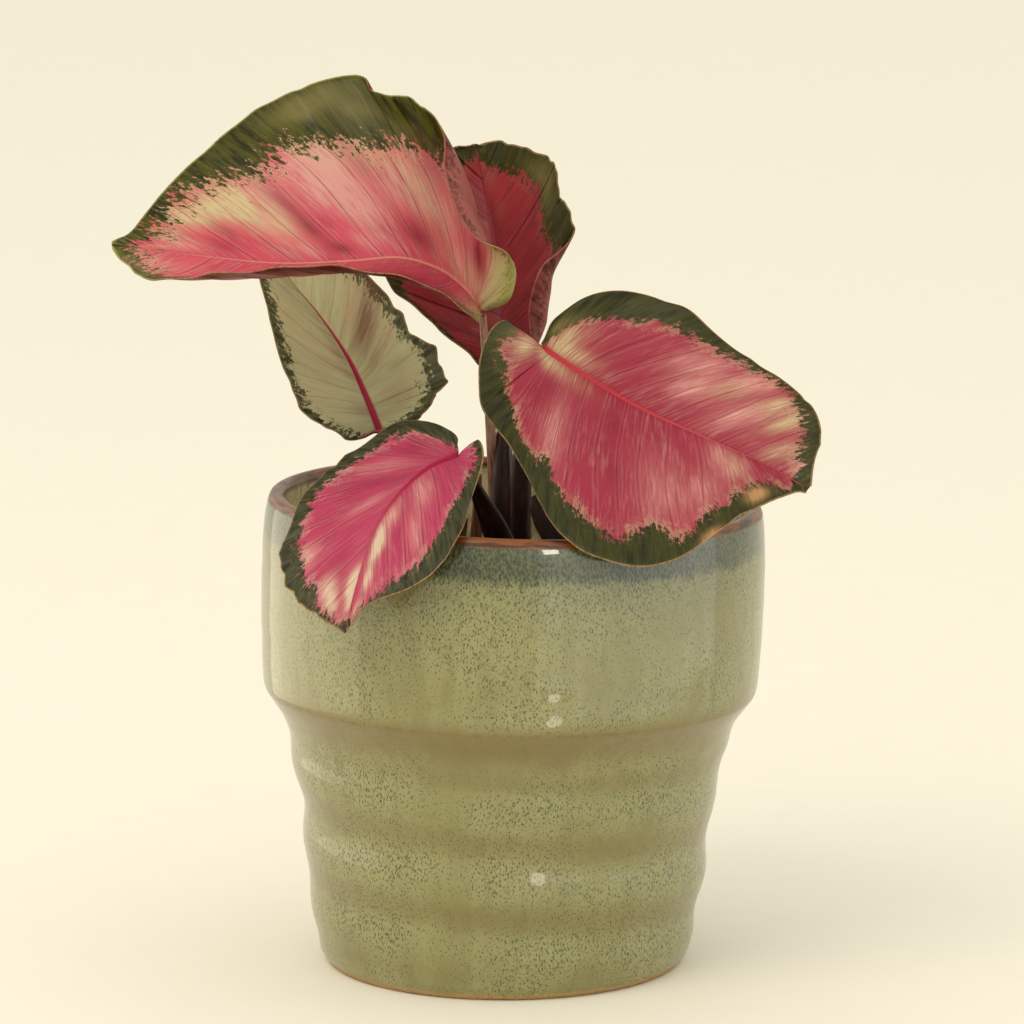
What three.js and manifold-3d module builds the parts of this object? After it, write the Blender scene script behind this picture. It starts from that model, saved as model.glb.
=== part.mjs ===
import * as THREE from 'three';
import Module from 'manifold-3d';
import { mergeVertices } from 'three/addons/utils/BufferGeometryUtils.js';

// A young rosy calathea in its grower's pot, standing in a glazed stoneware cover pot.
// Millimetres, Z up. The origin is the middle of the cover pot's flat base, the front is towards -Y.

// Driving dimensions
const POT_HEIGHT = 134;
const POT_FOOT_RADIUS = 49.8;
const POT_SHOULDER_RADIUS = 71.5;
const POT_RIM_RADIUS = 69.4;
const POT_WALL = 5.4;
const POT_FLOOR = 7;
const POT_SIDES = 48;
const WAIST_STEPS = 15;
const WALL_MIDDLE_RADIUS = 50.6;
const WALL_FLARE = 0.14;
const RING_PITCH = 21;
const RING_CREST_Z = 57.5;
const RING_DEPTH = 0.55;
const RIM_TILT = 2.2;
const RIM_TILT_FROM_Z = 20;
const POT_LEAN = 3.2;

const GROWER_FOOT_RADIUS = 43;
const GROWER_NECK_RADIUS = 56.4;
const GROWER_COLLAR_RADIUS = 59.6;
const GROWER_COLLAR_Z = 96;
const GROWER_TOP_Z = 107;
const GROWER_WALL = 1.2;
const GROWER_CHAMFER = 1.2;
const GROWER_EDGE = 0.5;
const GROWER_SHIFT_X = 1.2;
const GROWER_SIDES = 40;

const SOIL_TOP_Z = 102;
const SOIL_SHOULDER_Z = 99.5;
const SOIL_LUMPS = 1.1;
const FIT = 0.3;

const BLADE_THICKNESS = 0.8;
const BLADE_END_SHARE = 0.08;
const VEIN_SPREAD = 0.03;
const STEM_SIDES = 8;

const smooth = (low, high, value) => THREE.MathUtils.smoothstep(value, low, high);
const point = ([x, y, z]) => new THREE.Vector3(x, y, z);
const curveThrough = (points) => new THREE.CatmullRomCurve3(points.map(point), false, 'catmullrom', 0.5);

function material(color, roughness, metalness = 0) {
  return new THREE.MeshStandardMaterial({ color, roughness, metalness });
}

const GLAZE = material(0x9aa584, 0.18);
const GROWER_PLASTIC = material(0x2a2a28, 0.55);
const SOIL = material(0x3b2a20, 0.95);
const ROSE_LEAF = material(0xc4586e, 0.42);
const BURGUNDY_LEAF = material(0x8f2f42, 0.45);
const SILVER_LEAF = material(0xa3a98c, 0.45);
const PINK_STALK = material(0x9c6a60, 0.5);
const DARK_STALK = material(0x2e1a1c, 0.45);
const DRY_SHEATH = material(0x7a4a30, 0.85);

// Turned pieces

function turned(profile, sides) {
  const geometry = new THREE.LatheGeometry(profile.map(([r, z]) => new THREE.Vector2(r, z)), sides);
  geometry.rotateX(Math.PI / 2);
  return geometry;
}

function movePoints(geometry, move) {
  const positions = geometry.attributes.position;
  const p = new THREE.Vector3();
  for (let i = 0; i < positions.count; i += 1) {
    p.fromBufferAttribute(positions, i);
    move(p);
    positions.setXYZ(i, p.x, p.y, p.z);
  }
  return geometry;
}

function coverPotProfile() {
  const waist = new THREE.SplineCurve([
    [53.4, 5.2], [55.2, 16], [56.8, 25.5], [57.6, 35], [58.5, 44], [59.4, 49.5], [61, 56.5], [62.3, 62.5],
  ].map(([r, z]) => new THREE.Vector2(r, z))).getSpacedPoints(WAIST_STEPS).map((p) => [p.x, p.y]);
  const outside = [
    [POT_FOOT_RADIUS, 0], [51.3, 0.9], [52.5, 2.8], ...waist,
    [62.9, 66], [63.7, 69], [65.2, 72.3], [67.2, 75.2], [69.2, 77.9], [70, 79.3], [70.4, 80.8],
    [70.8, 86], [71.3, 98], [POT_SHOULDER_RADIUS, 108], [71.4, 118], [70.9, 127], [70.2, 131.5],
    [POT_RIM_RADIUS, 133.4], [68, POT_HEIGHT], [66.6, 133.4], [65.9, 131.6],
  ];
  const inside = [
    [POT_SHOULDER_RADIUS - POT_WALL, 112], [65.7, 90], [64.3, 81], [60.6, 74],
    [58.4, 67], [56.6, 56], [49.6, 12], [47, 8.2], [43, POT_FLOOR], [0, POT_FLOOR],
  ];
  return [[0, 0], ...outside, ...inside];
}

// Soft throwing rings wind down the lower half in one spiral, and the rim stands a little askew.
function throwPot(p) {
  const radius = Math.hypot(p.x, p.y);
  const outer = radius > WALL_MIDDLE_RADIUS + p.z * WALL_FLARE;
  if (outer) {
    const turn = (Math.atan2(p.y, p.x) - Math.PI) / (2 * Math.PI);
    const fade = smooth(3, 12, p.z) * (1 - smooth(60, 72, p.z));
    const swell = RING_DEPTH * fade * Math.cos(2 * Math.PI * ((p.z - RING_CREST_Z) / RING_PITCH + turn));
    p.x *= (radius + swell) / radius;
    p.y *= (radius + swell) / radius;
  }
  p.z -= RIM_TILT * (p.x / POT_RIM_RADIUS) * smooth(RIM_TILT_FROM_Z, POT_HEIGHT, p.z);
  p.x += POT_LEAN * (Math.max(0, p.z) / POT_HEIGHT) ** 1.3;
}

function coverPot() {
  return movePoints(turned(coverPotProfile(), POT_SIDES), throwPot);
}

function growerRadius(z) {
  const rise = (z - POT_FLOOR) / (GROWER_COLLAR_Z - POT_FLOOR);
  return THREE.MathUtils.lerp(GROWER_FOOT_RADIUS, GROWER_NECK_RADIUS, rise);
}

function growerPot() {
  const floor = POT_FLOOR + FIT;
  const knee = floor + GROWER_CHAMFER;
  const neck = growerRadius(GROWER_COLLAR_Z);
  const inner = GROWER_COLLAR_RADIUS - GROWER_WALL;
  const outside = [
    [GROWER_FOOT_RADIUS - GROWER_CHAMFER, floor], [GROWER_FOOT_RADIUS, knee], [neck, GROWER_COLLAR_Z],
    [GROWER_COLLAR_RADIUS - GROWER_EDGE, GROWER_COLLAR_Z + GROWER_EDGE],
    [GROWER_COLLAR_RADIUS, GROWER_COLLAR_Z + GROWER_CHAMFER],
    [GROWER_COLLAR_RADIUS, GROWER_TOP_Z - GROWER_EDGE], [GROWER_COLLAR_RADIUS - GROWER_EDGE, GROWER_TOP_Z],
  ];
  const inside = [
    [inner, GROWER_TOP_Z - GROWER_EDGE], [inner, GROWER_COLLAR_Z + 2 * GROWER_WALL],
    [neck - GROWER_WALL, GROWER_COLLAR_Z + GROWER_WALL],
    [GROWER_FOOT_RADIUS - GROWER_WALL, knee + GROWER_WALL],
  ];
  const profile = [[0, floor], ...outside, ...inside, [0, floor + GROWER_WALL]];
  const geometry = turned(profile, GROWER_SIDES);
  geometry.translate(GROWER_SHIFT_X, 0, 0);
  return geometry;
}

function soilPlug() {
  const floor = POT_FLOOR + GROWER_CHAMFER + GROWER_WALL + 2 * FIT;
  const clearance = GROWER_WALL + 2 * FIT;
  const foot = growerRadius(floor) - clearance;
  const neck = growerRadius(GROWER_COLLAR_Z) - clearance;
  const geometry = turned([
    [0, floor], [foot, floor], [neck, GROWER_COLLAR_Z], [neck, SOIL_SHOULDER_Z], [neck - 3, 100.8],
    [42, 101.4], [31, SOIL_TOP_Z], [20, SOIL_TOP_Z], [9, 102.4], [0, 102.6],
  ], GROWER_SIDES);
  movePoints(geometry, (p) => {
    const lumps = Math.sin(p.x * 0.23 + 1.3) * Math.cos(p.y * 0.29) + 0.6 * Math.sin((p.x + p.y) * 0.51);
    p.z += SOIL_LUMPS * lumps * smooth(SOIL_SHOULDER_Z - 0.5, SOIL_TOP_Z - 1, p.z);
  });
  geometry.translate(GROWER_SHIFT_X, 0, 0);
  return geometry;
}

// Blades. A row of edge points runs from the joint round each half to the tip. Each row gives where
// its side vein leaves the midrib (0 at the joint, 1 at the tip), the edge point, and how far the vein
// bellies away from a straight line. Left and right are seen on the upper face with the tip up.
// A ripple gives the height of the edge's waves, how many there are, and where the first one starts.
const LEAVES = {
  leaf_1: {
    material: ROSE_LEAF,
    rows: 26,
    columns: 6,
    midrib: [
      [-6.5, -2, 187], [-11, -6, 194], [-18.5, -12, 200.5], [-29, -19, 204.5], [-42.5, -26, 204.5],
      [-62, -34, 205], [-83.5, -41, 208], [-107, -46, 211.5],
    ],
    face: [0.1, -0.8, 0.5],
    ripple: { left: [0, 5, 0], right: [0.8, 5, 0.1] },
    left: [
      [0, [-7, -4, 187], [0, 0, 0]],
      [0, [-7.5, -8, 185], [0, 0, 0]],
      [0.01, [-9.5, -15, 188.5], [0, 0, -2]],
      [0.04, [-15, -26, 194], [1, 0, -3]],
      [0.09, [-23, -38, 200], [1, -1, -4]],
      [0.16, [-35, -50, 205], [2, -1, -5]],
      [0.26, [-50, -59, 207.5], [2, -2, -5]],
      [0.37, [-64.5, -64, 207.5], [2, -2, -5]],
      [0.5, [-78, -65, 206], [2, -2, -4]],
      [0.65, [-90, -62, 204.5], [1, -1, -3]],
      [0.8, [-98.5, -57, 204.5], [0, -1, -1]],
      [0.92, [-103.5, -51, 207.5], [0, 0, 0]],
      [1, [-107, -46.5, 211], [0, 0, 0]],
    ],
    right: [
      [0, [-5.5, -3, 188.5], [0, -1, 0]],
      [0, [-1, -4, 189.5], [0, -3, 1]],
      [0, [2.5, -6, 192.5], [1, -4, 2]],
      [0.01, [3.5, -10, 199.5], [3, -4, 2]],
      [0.01, [-0.5, -18, 207], [6, -2, 4]],
      [0.02, [-7.5, -24, 211.5], [9, 2, 6]],
      [0.02, [-13.5, -25, 219.5], [11, 5, 8]],
      [0.03, [-17, -20, 230], [11, 6, 7]],
      [0.04, [-17.5, -12, 239.5], [9, 5, 4]],
      [0.06, [-25.5, -8, 248], [7, 4, 2]],
      [0.09, [-37, -6, 250], [5, 3, 1]],
      [0.12, [-41.5, -5, 254], [4, 3, 1]],
      [0.18, [-54, -8, 252], [3, 3, 1]],
      [0.27, [-67.5, -14, 246], [3, 2, 1]],
      [0.42, [-81.5, -22, 236], [2, 2, 1]],
      [0.62, [-94, -32, 224.5], [1, 1, 0]],
      [0.82, [-101.5, -40, 215.5], [0, 0, 0]],
      [1, [-107, -46, 212.5], [0, 0, 0]],
    ],
  },
  leaf_2: {
    material: BURGUNDY_LEAF,
    rows: 22,
    columns: 5,
    midrib: [
      [0.5, 12, 170], [0, 14, 179.5], [-1.5, 17, 191], [-3.5, 21, 207.5], [-6, 22, 220], [-8, 20, 232],
    ],
    face: [0.1, -1, 0.1],
    ripple: { left: [0.5, 6, 0.3], right: [0.5, 6, 0.3] },
    left: [
      [0, [-0.5, 11, 170.5], [0, 0, 0]],
      [0, [-6.5, 8, 170], [0, 1, 0]],
      [0.02, [-11, 7, 174.5], [-1, 2, 0]],
      [0.05, [-18.5, 8, 180.5], [-1, 2, 0]],
      [0.1, [-26, 10, 187], [-2, 2, 0]],
      [0.16, [-32.5, 12, 193], [-2, 2, 0]],
      [0.26, [-35, 14, 202.5], [-2, 2, -1]],
      [0.4, [-32.5, 16, 215], [-1, 2, -1]],
      [0.56, [-27, 18, 224.5], [-1, 1, -1]],
      [0.74, [-19.5, 20, 229.5], [0, 0, 0]],
      [0.9, [-13, 20, 231.5], [0, 0, 0]],
      [1, [-9, 20, 232], [0, 0, 0]],
    ],
    right: [
      [0, [2, 11, 171], [0, 0, 0]],
      [0.02, [7.5, 6, 173], [3, 1, 0]],
      [0.03, [7, 2, 179], [10, 3, 0]],
      [0.05, [7, 0, 188], [15, 4, 0]],
      [0.08, [10.5, 2, 199], [13, 4, 0]],
      [0.13, [15, 5, 203], [7, 4, -1]],
      [0.2, [19.5, 9, 207.5], [2, 2, -2]],
      [0.28, [18.5, 13, 213.5], [2, 1, -2]],
      [0.37, [15, 16, 220.5], [1, 1, -2]],
      [0.48, [14, 18, 228], [1, 1, -2]],
      [0.62, [8, 19, 230], [1, 1, -1]],
      [0.8, [-0.5, 20, 233], [0, 0, 0]],
      [1, [-7, 20, 232], [0, 0, 0]],
    ],
  },
  leaf_3: {
    material: ROSE_LEAF,
    rows: 24,
    columns: 5,
    midrib: [
      [11, -14, 178.5], [21, -20, 172.5], [37.5, -29, 164], [57, -39, 156.5], [71.5, -47, 151],
      [83, -54, 145.5],
    ],
    face: [0.2, -0.8, 0.6],
    ripple: { left: [0.3, 5, 0.2], right: [0.3, 5, 0.2] },
    left: [
      [0, [10.5, -14, 180], [0, 0, 0]],
      [0, [14.5, -14, 187.5], [0, 0, 1]],
      [0.01, [22.5, -15, 193], [-1, -1, 2]],
      [0.04, [34.5, -17, 195], [-1, -1, 2]],
      [0.1, [49, -21, 191.5], [-1, -2, 3]],
      [0.19, [58, -26, 185], [-1, -2, 3]],
      [0.31, [67.5, -31, 178], [-1, -2, 3]],
      [0.46, [76.5, -36, 173], [-1, -2, 2]],
      [0.62, [83.5, -41, 168], [0, -2, 2]],
      [0.78, [87, -46, 160.5], [0, -1, 1]],
      [0.91, [85, -51, 152.5], [0, 0, 0]],
      [1, [84, -54, 146.5], [0, 0, 0]],
    ],
    right: [
      [0, [9, -15, 178.5], [0, 0, 0]],
      [0, [3.5, -16, 183], [0, -1, 1]],
      [0, [-0.5, -17, 186.5], [0, -1, 1]],
      [0, [-4.5, -20, 183], [0, -2, 1]],
      [0.01, [-7, -25, 174.5], [-1, -3, 1]],
      [0.02, [-5.5, -33, 164], [-2, -4, 0]],
      [0.04, [1, -42, 156], [-3, -5, 0]],
      [0.08, [6.5, -53, 148.5], [-3, -6, 1]],
      [0.14, [11.5, -64, 140], [-2, -6, 2]],
      [0.22, [20.5, -73, 132], [-2, -6, 2]],
      [0.33, [32, -76, 128.5], [-1, -5, 3]],
      [0.46, [46.5, -74, 129.5], [-1, -4, 3]],
      [0.6, [58, -69, 136], [-1, -3, 2]],
      [0.76, [71, -62, 143], [0, -2, 1]],
      [0.9, [78.5, -57, 144.5], [0, -1, 0]],
      [1, [82.5, -54, 144.5], [0, 0, 0]],
    ],
  },
  leaf_4: {
    material: SILVER_LEAF,
    rows: 20,
    columns: 4,
    midrib: [
      [-35.5, 4, 152.5], [-39.5, 6, 162], [-44.5, 10, 172], [-52.5, 16, 183], [-61.5, 22, 193],
      [-70.5, 28, 206],
    ],
    face: [-0.1, -1, 0.15],
    ripple: { left: [0.6, 4, 0.1], right: [0.6, 4, 0.1] },
    left: [
      [0, [-36.5, 3, 152.5], [0, 0, 0]],
      [0, [-42, 0, 150], [0, 1, 0]],
      [0.02, [-48, -2, 153], [-1, 1, 0]],
      [0.05, [-55.5, -2, 158], [-1, 1, 0]],
      [0.11, [-61, 1, 166], [-1, 1, 0]],
      [0.2, [-65, 6, 178], [-1, 1, -1]],
      [0.34, [-68.5, 12, 191], [-1, 1, -1]],
      [0.52, [-71, 18, 198.5], [0, 1, -1]],
      [0.76, [-72, 24, 203.5], [0, 0, 0]],
      [1, [-71.5, 28, 206.5], [0, 0, 0]],
    ],
    right: [
      [0, [-34.5, 3, 153], [0, 0, 0]],
      [0, [-28.5, -1, 154], [0, 2, 0]],
      [0.02, [-23, -3, 157.5], [1, 4, 0]],
      [0.05, [-19.5, -4, 162.5], [1, 5, 0]],
      [0.08, [-17, -4, 167.5], [1, 6, -1]],
      [0.13, [-20, -2, 176.5], [1, 6, -1]],
      [0.19, [-26.5, 3, 181], [1, 5, -1]],
      [0.28, [-34, 9, 191.5], [1, 5, -2]],
      [0.42, [-45.5, 17, 201], [1, 3, -2]],
      [0.6, [-55.5, 22, 206], [0, 2, -1]],
      [0.8, [-64, 26, 208], [0, 1, 0]],
      [1, [-69.5, 28, 207], [0, 0, 0]],
    ],
  },
  leaf_5: {
    material: ROSE_LEAF,
    rows: 20,
    columns: 4,
    midrib: [
      [-12.5, -38, 152], [-20.5, -46, 150], [-28.5, -56, 144.5], [-35, -65, 136], [-39.5, -73, 123.5],
      [-43, -77, 110],
    ],
    face: [-0.2, -0.8, 0.5],
    ripple: { left: [0.5, 5, 0], right: [0.5, 5, 0] },
    left: [
      [0, [-11.5, -38, 151.5], [0, 0, 0]],
      [0, [-9, -38, 153.5], [0, 0, 0]],
      [0, [-7, -38, 156.5], [0, -1, 1]],
      [0.01, [-6, -46, 151.5], [0, -2, 0]],
      [0.04, [-9, -60, 143.5], [1, -2, 1]],
      [0.11, [-12, -71, 135.5], [1, -3, 2]],
      [0.21, [-17, -77, 129], [1, -3, 2]],
      [0.35, [-25, -79, 122.5], [1, -3, 1]],
      [0.52, [-33, -79, 120], [0, -2, 1]],
      [0.72, [-38.5, -78, 116.5], [0, -1, 0]],
      [0.88, [-41, -77, 113], [0, 0, 0]],
      [1, [-42.5, -77, 110.5], [0, 0, 0]],
    ],
    right: [
      [0, [-13.5, -37, 152.5], [0, 0, 0]],
      [0, [-14, -34, 157], [0, -1, 1]],
      [0, [-20.5, -32, 160], [0, -1, 1]],
      [0.02, [-31, -32, 160], [-1, -1, 2]],
      [0.05, [-40, -36, 154], [-1, -2, 2]],
      [0.1, [-48, -41, 148.5], [-1, -2, 2]],
      [0.17, [-55.5, -48, 142], [-1, -2, 1]],
      [0.26, [-60.5, -57, 131], [-1, -2, 1]],
      [0.4, [-60, -64, 122.5], [-1, -2, 1]],
      [0.58, [-54.5, -71, 116], [0, -1, 1]],
      [0.8, [-48, -75, 112.5], [0, 0, 0]],
      [1, [-43.5, -77, 110], [0, 0, 0]],
    ],
  },
};

function halfBlade(leaf, side) {
  const midrib = curveThrough(leaf.midrib);
  const edge = curveThrough(leaf[side].map((row) => row[1]));
  const belly = curveThrough(leaf[side].map((row) => row[2]));
  const root = curveThrough(leaf[side].map((row) => [row[0], 0, 0]));
  const [height, waves, phase] = leaf.ripple[side];

  return (u, t) => {
    const along = THREE.MathUtils.clamp((1 - VEIN_SPREAD) * root.getPoint(u).x + VEIN_SPREAD * u, 0, 1);
    const foot = midrib.getPointAt(along);
    const tangent = midrib.getTangentAt(along);
    const normal = point(leaf.face);
    normal.addScaledVector(tangent, -normal.dot(tangent)).normalize();
    const end = edge.getPoint(u);
    const middle = foot.clone().add(end).multiplyScalar(0.5).add(belly.getPoint(u));
    const ends = Math.min(u, 1 - u, BLADE_END_SHARE) / BLADE_END_SHARE;
    const wave = height * t ** 3 * ends * Math.sin(2 * Math.PI * (waves * u + phase));
    return foot.multiplyScalar((1 - t) ** 2)
      .addScaledVector(middle, 2 * t * (1 - t))
      .addScaledVector(end, t * t)
      .addScaledVector(normal, wave);
  };
}

function bladeGrid(leaf) {
  const left = halfBlade(leaf, 'left');
  const right = halfBlade(leaf, 'right');
  const grid = [];
  for (let row = 0; row < leaf.rows; row += 1) {
    const u = row / (leaf.rows - 1);
    const line = [];
    for (let column = -leaf.columns; column <= leaf.columns; column += 1) {
      const t = Math.abs(column) / leaf.columns;
      line.push(column < 0 ? left(u, t) : right(u, t));
    }
    grid.push(line);
  }
  return grid;
}

function surfaceNormal(grid, row, column) {
  const rows = grid.length - 1;
  const columns = grid[0].length - 1;
  const across = grid[row][Math.min(column + 1, columns)].clone().sub(grid[row][Math.max(column - 1, 0)]);
  const along = grid[Math.min(row + 1, rows)][column].clone().sub(grid[Math.max(row - 1, 0)][column]);
  return across.cross(along).normalize();
}

// The blade is one closed skin: an upper and a lower face split alike, joined round the edge.
function bladeSolid(leaf) {
  const grid = bladeGrid(leaf);
  const rows = grid.length;
  const columns = grid[0].length;
  const faceSize = rows * columns;
  const vertices = [];
  for (const side of [0.5, -0.5]) {
    for (let row = 0; row < rows; row += 1) {
      for (let column = 0; column < columns; column += 1) {
        const lift = surfaceNormal(grid, row, column).multiplyScalar(side * BLADE_THICKNESS);
        vertices.push(...grid[row][column].clone().add(lift).toArray());
      }
    }
  }
  const indices = [];
  for (let row = 0; row < rows - 1; row += 1) {
    for (let column = 0; column < columns - 1; column += 1) {
      const a = row * columns + column;
      const b = a + 1;
      const c = a + columns + 1;
      const d = a + columns;
      indices.push(a, b, c, a, c, d);
      indices.push(faceSize + a, faceSize + c, faceSize + b, faceSize + a, faceSize + d, faceSize + c);
    }
  }
  for (const [from, to] of rimOf(rows, columns)) {
    indices.push(from, faceSize + from, faceSize + to, from, faceSize + to, to);
  }
  return solidGeometry(vertices, indices);
}

function rimOf(rows, columns) {
  const rim = [];
  for (let column = 0; column < columns; column += 1) rim.push(column);
  for (let row = 1; row < rows; row += 1) rim.push(row * columns + columns - 1);
  for (let column = columns - 2; column >= 0; column -= 1) rim.push((rows - 1) * columns + column);
  for (let row = rows - 2; row > 0; row -= 1) rim.push(row * columns);
  return rim.map((vertex, i) => [vertex, rim[(i + 1) % rim.length]]);
}

function solidGeometry(vertices, indices) {
  const geometry = new THREE.BufferGeometry();
  geometry.setAttribute('position', new THREE.Float32BufferAttribute(vertices, 3));
  geometry.setIndex(indices);
  return geometry;
}

// Stalks. Each follows a route upwards, with its half width and half depth given along it.
const STALKS = {
  petiole_1: {
    material: PINK_STALK,
    route: [
      [-1, 7, 93], [-1.5, 5.5, 110], [-2.6, 3, 128], [-3.6, 0.5, 148], [-4.8, -1, 168], [-6.1, -1.6, 186.3],
    ],
    girth: [[0, 1.9, 1.9], [0.6, 1.5, 1.5], [1, 1.1, 1.1]],
    steps: 12,
  },
  petiole_2: {
    material: DARK_STALK,
    route: [[-1, -3, 93], [-0.6, -3.5, 112], [-0.4, -2.5, 136], [0, 3, 155], [0.5, 11.4, 169.1]],
    girth: [[0, 2.6, 2.6], [0.5, 2.1, 2.1], [1, 1.1, 1.1]],
    steps: 12,
  },
  petiole_3: {
    material: DARK_STALK,
    route: [[5, -4, 93], [4.8, -5, 112], [4.6, -7, 136], [6.4, -8.4, 158], [10.7, -13.2, 177.7]],
    girth: [[0, 2.7, 3], [0.5, 2.3, 2.6], [1, 1.1, 1.1]],
    steps: 12,
  },
  petiole_4: {
    material: PINK_STALK,
    route: [[-12, 9, 93], [-15, 7.5, 112], [-20, 6, 130], [-27, 5, 143], [-34.6, 4.3, 151.6]],
    girth: [[0, 2.5, 2.2], [0.6, 1.8, 1.6], [1, 1, 1]],
    steps: 10,
  },
  petiole_5: {
    material: DARK_STALK,
    route: [[5, -13.5, 93], [3.4, -14.5, 107], [-1.4, -20, 125], [-7, -28, 139], [-12, -37.1, 151.1]],
    girth: [[0, 4.6, 2], [0.35, 4.8, 1.7], [0.6, 3.6, 1.5], [0.8, 2, 1.3], [1, 1, 1]],
    steps: 12,
  },
  side_shoot: {
    material: DARK_STALK,
    route: [[27, -18, 93], [24.5, -18, 106], [18.5, -16.5, 121], [13, -14.5, 131], [9.6, -13, 136.6]],
    girth: [[0, 4, 2.6], [0.5, 4, 2.3], [0.85, 3.4, 2], [1, 1.8, 1.2]],
    steps: 10,
  },
  dry_sheath_1: {
    material: DRY_SHEATH,
    route: [[-7.5, -4, 94], [-8, -4, 108], [-8, -3.6, 124], [-7.2, -3.2, 141]],
    girth: [[0, 2.2, 0.7], [0.6, 1.8, 0.5], [1, 0.8, 0.4]],
    steps: 8,
  },
  dry_sheath_2: {
    material: DRY_SHEATH,
    route: [[-15, -12, 94], [-15, -12, 106], [-14, -13, 119], [-11.6, -15, 130.6]],
    girth: [[0, 3, 0.7], [0.6, 3.2, 0.5], [1, 1.4, 0.4]],
    steps: 8,
  },
};

function girthAt(girth, t) {
  const next = Math.max(1, girth.findIndex(([at]) => at >= t));
  const [fromAt, fromWide, fromDeep] = girth[next - 1];
  const [toAt, toWide, toDeep] = girth[next];
  const mix = (t - fromAt) / (toAt - fromAt);
  return [THREE.MathUtils.lerp(fromWide, toWide, mix), THREE.MathUtils.lerp(fromDeep, toDeep, mix)];
}

function stalkSolid(stalk, clearance = 0) {
  const curve = curveThrough(stalk.route);
  const vertices = [];
  const indices = [];
  for (let step = 0; step <= stalk.steps; step += 1) {
    const t = step / stalk.steps;
    const middle = curve.getPointAt(t);
    const tangent = curve.getTangentAt(t);
    const wideAxis = new THREE.Vector3(1, 0, 0).addScaledVector(tangent, -tangent.x).normalize();
    const deepAxis = tangent.clone().cross(wideAxis);
    const [wide, deep] = girthAt(stalk.girth, t);
    for (let side = 0; side < STEM_SIDES; side += 1) {
      const angle = (2 * Math.PI * side) / STEM_SIDES;
      const corner = middle.clone()
        .addScaledVector(wideAxis, Math.cos(angle) * (wide + clearance))
        .addScaledVector(deepAxis, Math.sin(angle) * (deep + clearance));
      vertices.push(...corner.toArray());
    }
  }
  for (let step = 0; step < stalk.steps; step += 1) {
    for (let side = 0; side < STEM_SIDES; side += 1) {
      const a = step * STEM_SIDES + side;
      const b = step * STEM_SIDES + ((side + 1) % STEM_SIDES);
      indices.push(a, b, b + STEM_SIDES, a, b + STEM_SIDES, a + STEM_SIDES);
    }
  }
  const top = stalk.steps * STEM_SIDES;
  for (let side = 1; side < STEM_SIDES - 1; side += 1) {
    indices.push(0, side + 1, side, top, top + side, top + side + 1);
  }
  return solidGeometry(vertices, indices);
}

const wasm = await Module();
wasm.setup();

function toManifold(source) {
  const geometry = source.clone();
  geometry.deleteAttribute('normal');
  geometry.deleteAttribute('uv');
  const merged = mergeVertices(geometry, 1e-3);
  return new wasm.Manifold(new wasm.Mesh({
    numProp: 3,
    vertProperties: Float32Array.from(merged.attributes.position.array),
    triVerts: Uint32Array.from(merged.index.array),
  }));
}

function fromManifold(solid) {
  const mesh = solid.getMesh();
  return solidGeometry(Array.from(mesh.vertProperties), Array.from(mesh.triVerts));
}

// Each stalk stands in a plain hole in the soil, a little wider and deeper than its own foot.
function soilWithHoles() {
  let soil = toManifold(soilPlug());
  for (const stalk of Object.values(STALKS)) {
    const [foot, next, ...rest] = stalk.route;
    const hole = stalkSolid({ ...stalk, route: [[foot[0], foot[1], foot[2] - FIT], next, ...rest] }, FIT);
    soil = soil.subtract(toManifold(hole));
  }
  return fromManifold(soil);
}

const plant = new THREE.Group();

function addPiece(parent, name, geometry, finish) {
  const piece = new THREE.Mesh(geometry, finish);
  piece.name = name;
  parent.add(piece);
}

const calathea = new THREE.Group();
addPiece(calathea, 'cover_pot', coverPot(), GLAZE);
addPiece(calathea, 'grower_pot', growerPot(), GROWER_PLASTIC);
addPiece(calathea, 'soil', soilWithHoles(), SOIL);
for (const [name, leaf] of Object.entries(LEAVES)) addPiece(plant, name, bladeSolid(leaf), leaf.material);
for (const [name, stalk] of Object.entries(STALKS)) addPiece(plant, name, stalkSolid(stalk), stalk.material);
calathea.add(plant);

export default calathea;
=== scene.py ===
"""Potted rosy calathea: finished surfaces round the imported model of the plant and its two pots."""

import math

import bpy
import numpy as np
from bpy.props import FloatProperty, FloatVectorProperty, IntProperty, PointerProperty
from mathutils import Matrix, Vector


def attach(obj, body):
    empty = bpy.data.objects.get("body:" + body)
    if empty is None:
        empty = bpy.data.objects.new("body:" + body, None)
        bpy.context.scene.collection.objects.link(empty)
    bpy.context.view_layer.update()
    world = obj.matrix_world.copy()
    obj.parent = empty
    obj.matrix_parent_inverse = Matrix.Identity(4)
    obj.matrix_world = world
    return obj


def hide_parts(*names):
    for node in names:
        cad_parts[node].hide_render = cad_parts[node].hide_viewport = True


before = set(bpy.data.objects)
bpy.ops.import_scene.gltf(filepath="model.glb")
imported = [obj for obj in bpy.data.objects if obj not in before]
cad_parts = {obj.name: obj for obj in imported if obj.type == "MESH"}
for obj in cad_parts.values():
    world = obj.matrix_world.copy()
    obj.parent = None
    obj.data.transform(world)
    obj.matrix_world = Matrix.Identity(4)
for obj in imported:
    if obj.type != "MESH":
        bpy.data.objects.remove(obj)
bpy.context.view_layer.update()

bl_info = {
    "name": "Potted Rosy Calathea",
    "version": (1, 0, 0),
    "blender": (4, 5, 0),
    "location": "3D View > Sidebar > Calathea",
    "description": "Dresses a potted calathea: blades, stalks, soil, grower's pot and glazed cover pot",
    "category": "Add Mesh",
}

BODY = "root"
MM = 0.001
SEED = 7

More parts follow.
